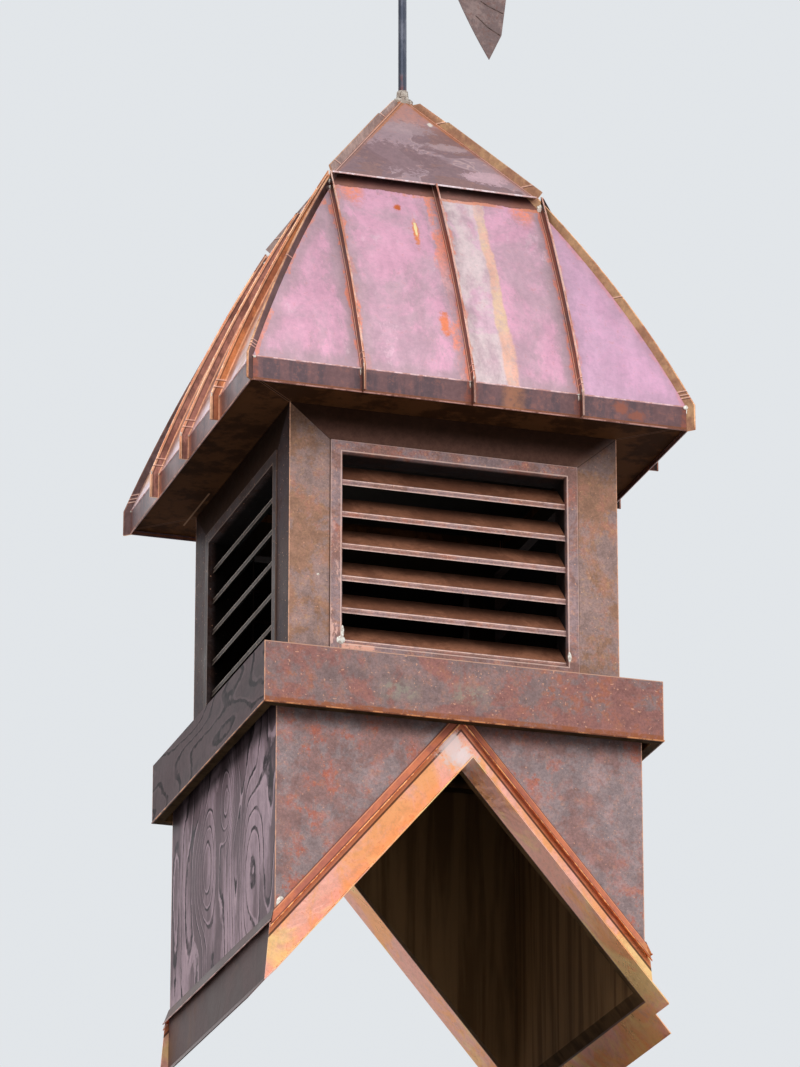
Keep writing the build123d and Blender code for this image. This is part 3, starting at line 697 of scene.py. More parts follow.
def start_pan(name, along_x, field, cloud_tone, border, glow):
    """The field of the pans with its clouds, its border and the glow beside the seams."""
    finish = Finish(name, metallic=0.6)
    finish.along, outward = (finish.x, finish.y) if along_x else (finish.y, finish.x)
    finish.streaks = finish.cloud(26, stretch=(1, 1, 0.16), detail=5, roughness=0.7)
    fine = finish.fine = finish.cloud(75, detail=6, roughness=0.78)
    finish.clouds = finish.cloud(6.5, stretch=(1, 1, 0.6), detail=7, roughness=0.68, distortion=0.4)
    finish.ragged = finish.streaks.ramp(GRAIN_LOW, GRAIN_HIGH, -0.009, 0.009)
    finish.by_seam = seam_distance(finish, finish.along)
    finish.near_seam = finish.by_seam + finish.ragged
    near_hip = abs(outward) - abs(finish.along) + finish.ragged
    finish.tone = finish.blend(finish.clouds, 0.42, 0.58, field, cloud_tone)
    near_eave = (finish.z + finish.ragged).fade(eave_z + 0.006, eave_z + 0.04, 0.75)
    by_seam, by_hip = finish.near_seam.fade(0.016, 0.036, 0.8), near_hip.fade(0.014, 0.044, 0.7)
    finish.lay(border, finish.either(by_seam, near_eave, by_hip))
    patches = finish.cloud(13, stretch=(1, 1, 0.32), detail=8, roughness=0.78)
    more_by_seam = patches + finish.by_seam.fade(0.02, 0.08, 0.06)
    finish.lay(border, more_by_seam.ramp(0.555, 0.575), 0.4)
    finish.lay((228, 196, 206), patches.fade(0.38, 0.4, 0.35))
    broken = finish.cloud(14, stretch=(1, 1, 0.4), detail=7, roughness=0.75).ramp(0.43, 0.49)
    beside = finish.either(finish.near_seam.fade(0.005, 0.008), near_hip.fade(0.006, 0.01, 0.8))
    finish.lay(glow, beside, broken, fine.ramp(0.36, 0.54, 0.45, 0.9))
    return finish


def band(finish, low, high, strength):
    """A ragged upright band of flux stain between two places along the eave."""
    inside = (finish.along + finish.ragged).between(low, high, 0.005)
    broken = finish.cloud(15, stretch=(1, 1, 0.35), detail=8, roughness=0.8).ramp(0.42, 0.54)
    by_height = finish.either(finish.z.ramp(*UPPER_STAIN, 0.3, 1.0), finish.z.between(*LOWER_STAIN, 0.03))
    return inside * broken * by_height * finish.fine.ramp(0.36, 0.54, 0.5, 1.0) * strength


def start_fascia(finish, glow_reach):
    """Ends the pan with the band under the cap, the grain and the root lines, and starts the fascia."""
    edge = finish.sum("MULTIPLY_ADD", finish.ragged, 0.35, finish.z)
    orange_edge = edge.between(cap_z - 0.037, cap_z - 0.029, 0.002)
    finish.lay((226, 142, 106), orange_edge, finish.clouds.ramp(0.42, 0.52), 0.8)
    band_tone = finish.blend(finish.z, cap_z - 0.026, cap_z - 0.006, (134, 88, 74), (74, 42, 34))
    finish.lay(band_tone, edge.ramp(cap_z - 0.031, cap_z - 0.029, 0.0, 0.95))
    finish.lay((178, 108, 98), finish.fine.ramp(0.58, 0.66, 0.0, 0.35))
    finish.vary(finish.streaks, 0.90, 1.09)
    finish.vary(finish.fine, 0.91, 1.09)
    finish.lay(ROOT_LIGHT, finish.by_seam.between(0.001, 0.0028), 0.75)
    finish.lay(ROOT_DARK, finish.by_seam.between(0.0032, 0.0044), 0.7)
    finish.sheet = finish.tone
    finish.tone = finish.blend(finish.streaks, 0.44, 0.56, FASCIA_BROWN, FASCIA_GREY)
    finish.lay((144, 92, 80), finish.fine.ramp(0.54, 0.62, 0.0, 0.4))
    beside = finish.near_seam.fade(glow_reach * 0.4, glow_reach, 0.6)
    finish.lay((160, 88, 64), beside, finish.fine.ramp(0.4, 0.54, 0.3, 1.0))
    finish.lay((134, 80, 52), (finish.z - fascia_foot).between(0.0032, 0.0066), 0.8)
    finish.vary(finish.fine, 0.84, 1.16)


def join_pan(finish):
    """The pan above the bend and the fascia below it."""
    finish.tone = finish.mix(finish.z.fade(eave_z - 0.0024, eave_z - 0.0012), finish.sheet, finish.tone)
    finish.paint()
    finish.gloss(finish.clouds, 0.3, 0.46)
    finish.waves(0.04, 3.6, 0.35)


print("seam spacing", round(SEAM_SPACING, 4))

# %% Colours and stains of the pans
FLUX_ORANGE = (242, 148, 120)
STAIN_BANDS = (
    (-0.2310, -0.2170, 0.95),
    (-0.0250, 0.0000, 0.9),
    (0.0000, 0.0075, 0.7),
    (0.2235, 0.2310, 0.7),
    (0.2310, 0.2400, 0.8),
)
RUST_MARKS = (
    (-0.0925, 0.0065, 1.7577, 0.009, (206, 102, 46)),
    (-0.0628, 0.0060, 1.6880, 0.036, (230, 134, 84)),
    (-0.0622, 0.0030, 1.6990, 0.020, (252, 228, 168)),
    (-0.0385, 0.0100, 1.4430, 0.026, (232, 134, 96)),
)
FASCIA_MARKS = ((0.318, 0.016, 1.2806, 0.012), (0.352, 0.018, 1.2672, 0.010))
THIRD_PAN, CORNER_STAIN_AT = (0.006, 0.098), 0.186
STREAK_AT, STREAK_TOP, STREAK_FOOT, STREAK_WIDE, STREAK_NARROW = 0.0885, 1.800, 1.300, 0.014, 0.010
FRONT_TONES = (222, 166, 188), (196, 158, 172), (184, 154, 162), FLUX_ORANGE
LEFT_TONES = (176, 134, 124), (190, 156, 152), (158, 118, 106), (214, 128, 82)
OTHER_TONES = (214, 162, 176), (190, 154, 162), (176, 142, 144), FLUX_ORANGE
print("bands", len(STAIN_BANDS), "rust marks", len(RUST_MARKS))

# %% Pans of the front
pans = start_pan("front_pan_copper", True, *FRONT_TONES)
chalk = pans.blend(pans.clouds, 0.44, 0.50, (222, 188, 200), (222, 204, 202))
third = (pans.along + pans.ragged).between(*THIRD_PAN, 0.002)
pans.lay(chalk, third, pans.streaks.ramp(0.36, 0.56, 0.3, 0.75))
pans.darken(pans.along.ramp(-SEAM_SPACING - 0.01, -SEAM_SPACING, 0.92, 1.0))
pans.lay((214, 168, 198), pans.along.ramp(SEAM_SPACING, SEAM_SPACING + 0.01), 0.6)
for low, high, strength in STAIN_BANDS:
    pans.lay(FLUX_ORANGE, band(pans, low, high, strength))
for at_x in (-CORNER_STAIN_AT, CORNER_STAIN_AT):
    corner = oval(pans, pans.along, at_x, 0.024, cap_z - 0.035, 0.040)
    pans.lay(FLUX_ORANGE, corner, pans.fine.ramp(0.42, 0.5, 0.3, 1.0), 0.9)
drift = STREAK_AT + pans.clouds.ramp(0.35, 0.65, -0.0015, 0.0015)
off = abs(pans.along + pans.ragged * 0.4 - drift)
half_wide = pans.z.ramp(STREAK_FOOT, STREAK_TOP, STREAK_WIDE, STREAK_NARROW)
inside = (off - half_wide).fade(-0.003, 0.003)
reach = pans.z.ramp(STREAK_TOP - 0.1, STREAK_TOP, 1.0, 0.5)
tan = pans.blend(pans.clouds, 0.44, 0.52, (228, 194, 156), (230, 178, 154))
pans.lay(tan, inside, reach, pans.fine.ramp(0.36, 0.52, 0.45, 0.85))
for *place, rust in RUST_MARKS:
    pans.lay(rust, oval(pans, pans.along, *place))
start_fascia(pans, 0.012)
for place in FASCIA_MARKS:
    pans.lay((158, 92, 70), oval(pans, pans.along, *place), 0.7)
pans.lay((176, 118, 82), off.fade(0.01, 0.034, 0.6), pans.fine.ramp(0.38, 0.5, 0.5, 1.0))
join_pan(pans)
dress(pans, "roof_pans_front")
print("nodes in the front's finish", len(pans.tree.nodes))

# %% Pans of the other sides
pans = start_pan("left_pan_copper", False, *LEFT_TONES)
level = pans.cloud(9, stretch=(1, 0.3, 1), detail=6, roughness=0.68)
pans.lay((222, 160, 118), level.ramp(0.52, 0.58, 0.0, 0.8))
pans.lay((140, 90, 72), level.fade(0.38, 0.46, 0.8))
near_bend = pans.z.fade(eave_z + 0.012, eave_z + 0.055, 0.7)
pans.lay((226, 206, 220), near_bend, pans.clouds.ramp(0.4, 0.52))
start_fascia(pans, 0.028)
join_pan(pans)
dress(pans, "roof_pans_left")
for side in ("right", "back"):
    pans = start_pan(f"{side}_pan_copper", side == "back", *OTHER_TONES)
    start_fascia(pans, 0.014)
    join_pan(pans)
    dress(pans, f"roof_pans_{side}")
print("pans", [nodes[name].data.materials[0].name for name in around("roof_pans", *SIDES)])

# %% [markdown]
# A standing seam is two folded edges that stand up together. Its sides get painted shade, because
# they face sideways, and its folded top is pale pink and orange. The surface's own direction tells
# them apart, and its height above the sheet gives the line of the fold.

# %% Seam copper
SEAM_HEIGHT, HIP_HEIGHT = 0.020, 0.01202
EAVE_LAPS = (eave_z + 0.0185, eave_z + 0.034)


def above_sheet(finish, out):
    """Height above the roof's sheet: level from the fascia, and square to the arc above the bend."""
    radius = finish.length(out - centre_h, finish.z - centre_z)
    over_arc = radius - curve_radius
    on_arc = finish.sum("GREATER_THAN", finish.z, eave_z)
    return on_arc * over_arc + (1.0 - on_arc) * (out - eave_half)


def lay_laps(finish, laps):
    """A dark line with a light one above it, where two lengths of the strip overlap."""
    for lap_z in laps:
        finish.lay(ROOT_DARK, finish.z.between(lap_z - 0.0012, lap_z + 0.0008), 0.75)
        finish.lay(ROOT_LIGHT, finish.z.between(lap_z + 0.0012, lap_z + 0.003), 0.6)


def close_strip(finish, clouds):
    """Adds the grain and the dents, and joins the finish up."""
    finish.vary(finish.fine, 0.80, 1.20)
    finish.paint()
    finish.dents(finish.sum("MULTIPLY_ADD", finish.fine, 0.3, clouds), 0.25, 0.002)


seam = Finish("seam_copper", metallic=0.6, roughness=0.36)
nx, ny, nz = seam.facing()
on_front = seam.sum("GREATER_THAN", abs(seam.y), abs(seam.x))
sideways = on_front * abs(nx) + (1.0 - on_front) * abs(ny)
on_left = (1.0 - on_front) * seam.sum("LESS_THAN", seam.x, 0.0)
height = above_sheet(seam, box_distance(seam)) / SEAM_HEIGHT
clouds = seam.cloud(16, stretch=(1, 1, 0.4), detail=6, roughness=0.7)
seam.fine = seam.cloud(80, detail=5, roughness=0.75)
patchy = clouds.ramp(0.46, 0.56)
golden = seam.mix(patchy, (196, 122, 76), (156, 92, 62))
rosy = seam.mix(patchy, (158, 108, 94), (118, 76, 66))
seam.tone = seam.blend(seam.y, -0.16, -0.06, golden, rosy)
edges = seam.either(height.between(0.02, 0.12, 0.02), height.between(0.76, 0.86, 0.02))
seam.lay((236, 184, 148), edges, 0.75)
# Painted shadow: a dark band under the fold.
seam.lay((84, 46, 36), height.between(0.62, 0.72, 0.02), 0.7)
# Painted shade on the seams' sides, growing near black towards the fold, except on the left roof.
root_tone = seam.mix(patchy, (112, 58, 40), (86, 44, 32))
side_tone = seam.mix(on_left, seam.blend(height, 0.45, 0.6, root_tone, (42, 20, 15)), seam.tone)
seam.tone = seam.mix(patchy, (226, 184, 168), (196, 126, 102))
seam.lay(seam.mix(patchy, (240, 190, 150), (214, 140, 100)), on_left)
seam.lay(side_tone, sideways.ramp(0.8, 0.95))
lay_laps(seam, EAVE_LAPS)
seam.darken(seam.either(on_left, seam.z.ramp(eave_z - 0.004, eave_z + 0.004, 0.55, 1.0)))
close_strip(seam, clouds)
dress(seam, "standing_seams")
print("laps of the seams", [round(z, 4) for z in EAVE_LAPS])

# %% Hip copper
TAN_SIDE, GREY_SIDE = ((182, 140, 104), (158, 112, 86)), ((104, 76, 74), (86, 60, 56))
HIP_TOP, CAP_TOP = ((222, 170, 130), (190, 126, 90)), ((210, 164, 132), (186, 134, 104))
CAP_LEFT = ((166, 140, 132), (136, 112, 106))
HIP_LAPS, CAP_LAPS = (*EAVE_LAPS, 1.325, 1.570), (1.862, 2.050)


def hip_copper(name, laps, right_side, left_side, top_tones):
    """A strip on a corner: right and left of the cupola differ, and which way it faces tells its sides."""
    finish = Finish(name, metallic=0.6, roughness=0.38)
    nx, ny = finish.facing()[:2]
    corner_sign = finish.sum("SIGN", finish.x * finish.y)
    on_left = finish.x.fade(-0.02, 0.02)
    clouds = finish.cloud(11, detail=7, roughness=0.74)
    finish.fine = finish.cloud(85, detail=5, roughness=0.75)
    patchy = clouds.ramp(0.44, 0.58)
    side_tone = finish.mix(on_left, finish.mix(patchy, *right_side), finish.mix(patchy, *left_side))
    finish.tone = finish.mix(patchy, *top_tones)
    finish.lay(side_tone, (nx * ny * corner_sign * -1.0).ramp(0.3, 0.42))
    lay_laps(finish, laps)
    close_strip(finish, clouds)
    return finish


dress(hip_copper("hip_copper", HIP_LAPS, TAN_SIDE, GREY_SIDE, HIP_TOP), "hip_seams")
cap_strip_finish = hip_copper("cap_strip_copper", CAP_LAPS, TAN_SIDE, CAP_LEFT, CAP_TOP)
dress(cap_strip_finish, "cap_seams")
print("hips and cap strips dressed")

# %% [markdown]
# The cap's four sheets are mauve brown with paler patches in large soft waves, each with a thin light
# rim. The soffit, which rain never reaches, is painted dark as the shade under the eave; it shows the
# lines where its sheets meet and a painted reflection of the box's corner. The mast is a dark rod with
# one rusty place, and the vane has gone brown grey.

# %% Cap
CAP_PATCHES = (
    (-0.070, 0.080, 1.915, 0.050, (138, 106, 110)),
    (-0.020, 0.060, 2.020, 0.020, (182, 154, 158)),
    (0.060, 0.048, 1.968, 0.012, (192, 162, 164)),
    (0.122, 0.046, 1.878, 0.021, (216, 178, 186)),
)
CAP_DROP = (0.041, 0.005, 2.045, 0.006)
cap = Finish("cap_copper", metallic=0.6)
waves = cap.cloud(5.2, stretch=(1, 1, 1.7), detail=4, roughness=0.5, distortion=0.8)
fine = cap.fine = cap.cloud(75, detail=6, roughness=0.78)
cap.tone = cap.blend(waves, 0.475, 0.50, (144, 114, 118), (170, 142, 148))
cap.lay((214, 180, 176), waves.line(0.502, 0.002, 0.003), 0.55)
cap.lay((152, 112, 104), waves.fade(0.4, 0.41, 0.6))
cap.lay((196, 136, 120), cap.z.ramp(2.0, 2.07, 0.0, 0.75), fine.ramp(0.38, 0.5, 0.5, 1.0))
cap.lay((184, 130, 112), fine.ramp(0.56, 0.63, 0.0, 0.35))
for *place, patch_tone in CAP_PATCHES:
    cap.lay(patch_tone, oval(cap, cap.x, *place, 0.10), 0.75)
cap.lay((236, 228, 218), oval(cap, cap.x, *CAP_DROP))
by_strip = box_distance(cap) - corner_distance(cap)
ragged = by_strip + fine.ramp(GRAIN_LOW, GRAIN_HIGH, -0.003, 0.003)
cap.lay((196, 128, 88), ragged.fade(0.013, 0.017), cap.z.ramp(1.93, 2.02, 0.25, 0.9))
cap.lay(ROOT_LIGHT, by_strip.between(0.005, 0.0068), 0.7)
cap.lay(ROOT_DARK, by_strip.between(0.0072, 0.0086), 0.7)
cap.vary(fine, 0.88, 1.12)
cap.paint()
cap.gloss(waves, 0.3, 0.44)
cap.dents(waves, 0.3, 0.01)
dress(cap, "cap")
print("cap patches", len(CAP_PATCHES))

# %% Soffit, mast, collar and vane
REFLECTED_CORNER_AT, REFLECTED_CORNER_FROM, REFLECTED_CORNER_TO, RUST_ABOVE_APEX = -0.361, 0.20, 0.40, 0.035
soffit = Finish("soffit_copper", metallic=0.0, roughness=0.8, specular=0.03)
clouds = soffit.cloud(9, detail=7, roughness=0.72)
# Painted shade under the eave: the soffit is a near-black brown.
soffit.tone = soffit.blend(clouds, 0.44, 0.56, (42, 23, 11), (64, 38, 20))
by_corner = box_distance(soffit) - corner_distance(soffit)
soffit.lay(NEAR_BLACK, by_corner.line(0.0, 0.0012, 0.001))
soffit.lay((96, 66, 50), by_corner.line(0.0035, 0.001, 0.001), 0.6)
# Painted reflection of the box's corner: a light line in the soffit beside the left wall.
reflected_corner = soffit.x.line(REFLECTED_CORNER_AT, 0.0014, 0.001)
soffit.lay((112, 84, 66), reflected_corner, soffit.y.between(REFLECTED_CORNER_FROM, REFLECTED_CORNER_TO, 0.001))
soffit.paint()
soffit.dents(soffit.cloud(5, detail=2), 0.3, 0.01)
dress(soffit, "soffit")

mast = Finish("mast_steel", metallic=0.7, roughness=0.42)
clouds = mast.cloud(40, stretch=(1, 1, 0.3), detail=6, roughness=0.7)
mast.tone = mast.blend(clouds, 0.44, 0.56, (62, 66, 78), (88, 90, 100))
rusty = mast.z.line(apex_z + RUST_ABOVE_APEX, 0.012, 0.02)
mast.lay((92, 42, 36), rusty, clouds.ramp(0.45, 0.55), 0.7)
mast.paint()
mast.dents(clouds, 0.15, 0.001)
dress(mast, "mast")

sealant = Finish("sealant", metallic=0.0, roughness=0.7, specular=0.3)
lumps = sealant.cloud(90, detail=5, roughness=0.7)
sealant.tone = sealant.blend(lumps, 0.44, 0.56, (196, 187, 176), (164, 150, 138))
sealant.lay((60, 46, 40), sealant.cloud(45, detail=2).line(0.5, 0.01, 0.012))
sealant.paint()
sealant.dents(lumps, 0.6, 0.004)
dress(sealant, "apex_collar")

vane = Finish("vane_copper", metallic=0.4, roughness=0.45, specular=0.35)
clouds = vane.cloud(14, detail=8, roughness=0.72)
vane.tone = vane.blend(clouds, 0.46, 0.55, (112, 94, 92), (134, 114, 110))
fine = vane.cloud(90, detail=6, roughness=0.78)
vane.lay((100, 70, 62), fine.ramp(0.52, 0.6, 0.0, 0.6))
vane.vary(fine, 0.82, 1.18)
vane.paint()
vane.dents(fine, 0.2, 0.002)
dress(vane, "vane_arm", "vane_pointer", "vane_tail", "mast_ball")

wood = Finish("plywood", metallic=0.0, roughness=0.75)
wood.tone = plywood_grain(wood)
wood.paint()
dress(wood, "roof_deck", "mast_block")
print("dressed", [f.material.name for f in (soffit, mast, sealant, vane, wood)])

# %% [markdown]
# The flashings are newer than the rest, so they are still bright orange copper with pink clouds and
# swirls of painted gold highlight. Hand work shows in them: soft creases where the sheet was dressed
# down, lines of painted shade and highlight where a second sheet laps over the first and where the
# strip is bent, and a pale smear where solder was wiped on the ridge.

# %% Bright flashing copper
ROOF_SLOPE, FLASHING_REACH = 14 / 12, 0.020
ridge_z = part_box("base_flashing_front")[0].z + ROOF_SLOPE * (base_half + FLASHING_REACH)
BRIGHT_TONES = (255, 178, 120), (246, 182, 164), (255, 218, 150), (192, 106, 74)
STRIP_TONES = (192, 108, 70), (168, 94, 74), (204, 138, 84), (124, 58, 40)
# The left side's flashing and strip are painted darker, as the shade on that side.
SHADED_STRIP_TONES = (78, 56, 52), (96, 74, 72), (104, 72, 60), (48, 32, 29)
# The gable lines paint a darker band and a dark line just under the counter-flashing's foot, the painted
# shadow of the lap. The strip lines paint a dark line at the strip's top, a light line under it and a dark
# crease line: painted shade and a painted highlight of bends that are not modelled.
GABLE_LINES = ((0.0835, 0.0960, 0.85, (196, 112, 72)), (0.0780, 0.0830, 0.9, (72, 28, 16)))
STRIP_LINES = (
    (0.1215, 0.1240, 0.8, (96, 40, 28)),
    (0.1190, 0.1210, 0.5, (228, 158, 116)),
    (0.0985, 0.1010, 0.8, (98, 44, 30)),
)
SMEARS = ((-0.020, 0.030, 0.545, 0.030), (0.006, 0.024, 0.520, 0.030))


def flashing_copper(name, tones, creases=0.6, metallic=0.65, smooth=0.26, lines=(), smears=()):
    """Lines climb beside the roof's slope between two heights above it; smears are ovals of solder."""
    finish = Finish(name, metallic=metallic)
    bright, pink, gold_highlight, dark_line = tones
    clouds = finish.cloud(7, stretch=(1, 1, 0.55), detail=7, roughness=0.68, distortion=0.6)
    swirls = finish.cloud(4.5, detail=5, roughness=0.6, distortion=1.2)
    fine = finish.fine = finish.cloud(62, detail=6, roughness=0.78)
    finish.tone = finish.blend(clouds, 0.44, 0.56, bright, pink)
    # Painted highlight: swirls of gold.
    finish.lay(gold_highlight, swirls.ramp(0.5, 0.62, 0.0, 0.8))
    finish.lay(dark_line, fine.ramp(0.56, 0.64, 0.0, 0.4))
    finish.vary(fine, 0.86, 1.14)
    roof_line = finish.sum("MULTIPLY_ADD", abs(finish.x), -ROOF_SLOPE, ridge_z)
    above_roof = finish.z - roof_line
    for low, high, strength, line_tone in lines:
        finish.lay(line_tone, above_roof.between(low, high, 0.001), strength)
    for place in smears:
        finish.lay((238, 216, 212), oval(finish, finish.x, *place), clouds.ramp(0.4, 0.5, 0.2, 0.8))
    finish.paint()
    finish.gloss(clouds, smooth, smooth + 0.14)
    finish.dents(finish.sum("MULTIPLY_ADD", fine, 0.03, swirls * creases), 0.5, 0.02)
    return finish


bright_finish = flashing_copper("flashing_copper", BRIGHT_TONES)
gable_finish = flashing_copper("gable_flashing_copper", BRIGHT_TONES, lines=GABLE_LINES, smears=SMEARS)
strip_finish = flashing_copper("strip_copper", STRIP_TONES, 0.3, 0.35, 0.48, STRIP_LINES)
shaded_strip = flashing_copper("dark_strip_copper", SHADED_STRIP_TONES, 0.3, 0.2, 0.5)
dress(gable_finish, *around("base_flashing", "front", "back"))
dress(bright_finish, "base_flashing_right")
dress(strip_finish, *around("counter_flashing", *LIT_SIDES))
dress(shaded_strip, "base_flashing_left", "counter_flashing_left")
print("undressed", sorted(set(nodes) - set(dressed)))

# %% [markdown]
# The rest is modelled by hand. The first pieces are hems: a sheet's raw edge is folded back on itself,
# which stiffens it and leaves a thin round line that catches the light. Each is a slim rod along an
# edge, cut at the corners in edit mode so that the four sides meet in a mitre. One side is modelled
# and then copied round the cupola, each copy with its own mesh.

# %% Helpers for pieces
def picked(*pieces):
    """Operators act on all that is selected, so only these pieces are selected, the first one active."""
    bpy.ops.object.select_all(action="DESELECT")
    for piece in pieces:
        piece.select_set(True)
    bpy.context.view_layer.objects.active = pieces[0]


def edited(piece):
    """Puts the piece's place into its mesh and opens the mesh with all of it selected."""
    picked(piece)
    bpy.ops.object.transform_apply(location=True, rotation=True, scale=True)
    bpy.ops.object.mode_set(mode="EDIT")
    bpy.ops.mesh.select_all(action="SELECT")


def joined(pieces):
    picked(*pieces)
    if len(pieces) > 1:
        bpy.ops.object.join()
    return pieces[0]


def cut_off(piece, cuts):
    """Cuts off what lies outside planes, which are given as a point and a normal."""
    edited(piece)
    for place, normal in cuts:
        bpy.ops.mesh.select_all(action="SELECT")
        bpy.ops.mesh.bisect(plane_co=place, plane_no=normal, use_fill=True, clear_outer=True)
    bpy.ops.object.mode_set(mode="OBJECT")
    return piece


def hand_over(piece, name, finish, body="cupola"):
    """Turns the faces outwards, and gives name, finish, slot and body."""
    edited(piece)
    bpy.ops.mesh.normals_make_consistent(inside=False)
    bpy.ops.object.mode_set(mode="OBJECT")
    bpy.ops.object.shade_smooth_by_angle(angle=math.radians(40))
    piece.name = piece.data.name = name
    piece.data.materials.clear()
    piece.data.materials.append(finish.material)
    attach(piece, body)
    return piece


def twin(piece, name, turn=0.0, shift=(0, 0, 0)):
    """A copy with its own mesh, shifted and then turned about the upright axis in degrees."""
    made = piece.copy()
    made.data = piece.data.copy()
    made.name = made.data.name = name
    bpy.context.scene.collection.objects.link(made)
    made.data.transform(Matrix.Rotation(math.radians(turn), 4, "Z") @ Matrix.Translation(shift))
    return made


def mirrored(piece, name, axis, shift=(0, 0, 0)):
    """A copy that is mirrored along an axis through the centre and then shifted."""
    made = twin(piece, name)
    made.data.transform(Matrix.Translation(shift) @ Matrix.Scale(-1, 4, axis))
    made.data.flip_normals()
    return made


def round_the_sides(piece, name):
    """Renames the front's piece and copies it to the other three sides."""
    piece.name = piece.data.name = f"{name}_front"
    for side, turn in list(SIDES.items())[1:]:
        twin(piece, f"{name}_{side}", turn)


def hem(y, z, radius, flatten=1.0):
    """A mitred rod along the front at a distance and a height, flattened up or down if asked."""
    bpy.ops.mesh.primitive_cylinder_add(
        vertices=10, radius=radius, depth=-2 * y + 0.1, location=(0, y, z), rotation=(0, math.pi / 2, 0)
    )
    bpy.context.object.scale = (flatten, 1, 1)
    return cut_off(bpy.context.object, (((0, 0, 0), (1, 1, 0)), ((0, 0, 0), (-1, 1, 0))))


def worn_copper(name, fresh, worn, scale=24):
    """Two tones in ragged patches, for hems and folds."""
    finish = Finish(name, metallic=0.65, roughness=0.32)
    patches = finish.cloud(scale, detail=7, roughness=0.75)
    finish.tone = finish.blend(patches, 0.45, 0.54, fresh, worn)
    finish.vary(finish.cloud(120, detail=4, roughness=0.8), 0.84, 1.16)
    finish.paint()
    finish.dents(patches, 0.2, 0.001)
    return finish


print("helpers ready")

# %% Hems of the eave, the fascia, the cap and the belt
bend_finish = worn_copper("bend_copper", (240, 204, 204), (206, 154, 146), 30)
cap_hem_finish = worn_copper("cap_hem_copper", (240, 222, 226), (216, 176, 172), 30)
drip_finish = worn_copper("drip_copper", (192, 142, 130), (128, 84, 70))
belt_drip_finish = worn_copper("belt_drip_copper", (204, 138, 92), (124, 74, 52))
EAVE_HEM, CAP_HEM, DRIP_HEM, BELT_HEM = 0.0015, 0.0016, 0.0014, 0.0016
HEMS = {
    "eave_bend": (-eave_half, eave_z, EAVE_HEM, 1.0, bend_finish, "roof_copper"),
    "cap_hem": (-cap_half, cap_z + CAP_HEM, CAP_HEM, 1.2, cap_hem_finish, "cap_copper"),
    "fascia_drip": (-eave_half, fascia_foot + DRIP_HEM, DRIP_HEM, 1.0, drip_finish, "roof_copper"),
    "belt_drip": (-belt_half, belt_foot + BELT_HEM, BELT_HEM, 1.0, belt_drip_finish, "aged_copper"),
}
for name, (y, z, radius, flatten, finish, slot) in HEMS.items():
    round_the_sides(hand_over(hem(y, z, radius, flatten), name, finish), name)
print("hems", len(HEMS) * len(SIDES))

# %% [markdown]
# The counter-flashing hangs over the base flashing with its foot hemmed and kicked out, and the base
# flashing's roof leg ends in a small fold. On the gables both lines climb with the roof to the ridge,
# so the rod is modelled for one slope, cut at the ridge and at the corner, and copied to the other.

# %% Hems on the slopes
COUNTER_FOOT_ABOVE, COUNTER_OUT, COUNTER_ROD = 0.096, 0.011, 0.0014
LEG_ABOVE, LEG_OUT, LEG_REACH, LEG_ROD = 0.003, 0.0765, 0.018, 0.0012
gold_finish = worn_copper("fold_copper", (236, 170, 114), (176, 98, 60), 26)


def slope_hem(y, above, radius, reach):
    """A rod along the front of one slope, from the ridge down to a reach from the centre."""
    middle = (-reach / 2, y, ridge_z + above - ROOF_SLOPE * reach / 2)
    length = math.hypot(reach, reach * ROOF_SLOPE)
    bpy.ops.mesh.primitive_cylinder_add(vertices=10, radius=radius, depth=length + 0.04, location=middle)
    bpy.context.object.rotation_euler = (0, math.atan2(1, ROOF_SLOPE), 0)
    return cut_off(bpy.context.object, (((0, 0, 0), (1, 0, 0)), ((-reach, 0, 0), (-1, 0, 0))))


counter_y = -(base_half + COUNTER_OUT)
for name, y, above, radius, reach in (
    ("counter_hem", counter_y, COUNTER_FOOT_ABOVE, COUNTER_ROD, base_half + COUNTER_OUT),
    ("leg_fold", -(base_half + LEG_OUT), LEG_ABOVE, LEG_ROD, base_half + LEG_REACH),
):
    rod = slope_hem(y, above, radius, reach)
    left_rod = hand_over(rod, f"{name}_front_1", gold_finish)
    twin(left_rod, f"{name}_back_1", 180)
    twin(mirrored(left_rod, f"{name}_front_2", (1, 0, 0)), f"{name}_back_2", 180)
side_hem_z = ridge_z - ROOF_SLOPE * base_half + COUNTER_FOOT_ABOVE
side_hem = hem(counter_y, side_hem_z, COUNTER_ROD)
hand_over(side_hem, "counter_hem_right", gold_finish)
side_hem.data.transform(Matrix.Rotation(math.radians(90), 4, "Z"))
left_hem = twin(side_hem, "counter_hem_left", 180)
# The left side's hem takes the darker drip finish, as painted shade on that side.
left_hem.data.materials[0] = drip_finish.material
print("ridge at", round(ridge_z, 4), "counter foot at", round(side_hem_z, 4))

# %% [markdown]
# A standing seam ends in a fold along its top, a little wider than the fin, which takes most of the
# light. It starts as a small square at the fascia's foot and is extruded step by step up the fascia
# and along the roof's arc, as a gutter maker would run it through the rollers.

# %% Finish of the folds
fold_finish = Finish("seam_fold_copper", metallic=0.65, roughness=0.3)
worn = fold_finish.cloud(20, stretch=(1, 1, 0.4), detail=6, roughness=0.72)
fine = fold_finish.cloud(100, detail=4, roughness=0.8)
fold_finish.tone = fold_finish.blend(worn, 0.45, 0.55, (228, 188, 172), (200, 130, 106))
fold_finish.darken(fold_finish.z.ramp(eave_z - 0.004, eave_z + 0.004, 0.58, 1.0))
left_tone = fold_finish.blend(worn, 0.45, 0.55, (242, 194, 156), (218, 144, 104))
fold_finish.lay(left_tone, fold_finish.x.fade(-0.24, -0.2))
lay_laps(fold_finish, EAVE_LAPS)
fold_finish.vary(fine, 0.84, 1.16)
fold_finish.paint()
fold_finish.dents(worn, 0.25, 0.0015)
print("fold finish", fold_finish.material.name)

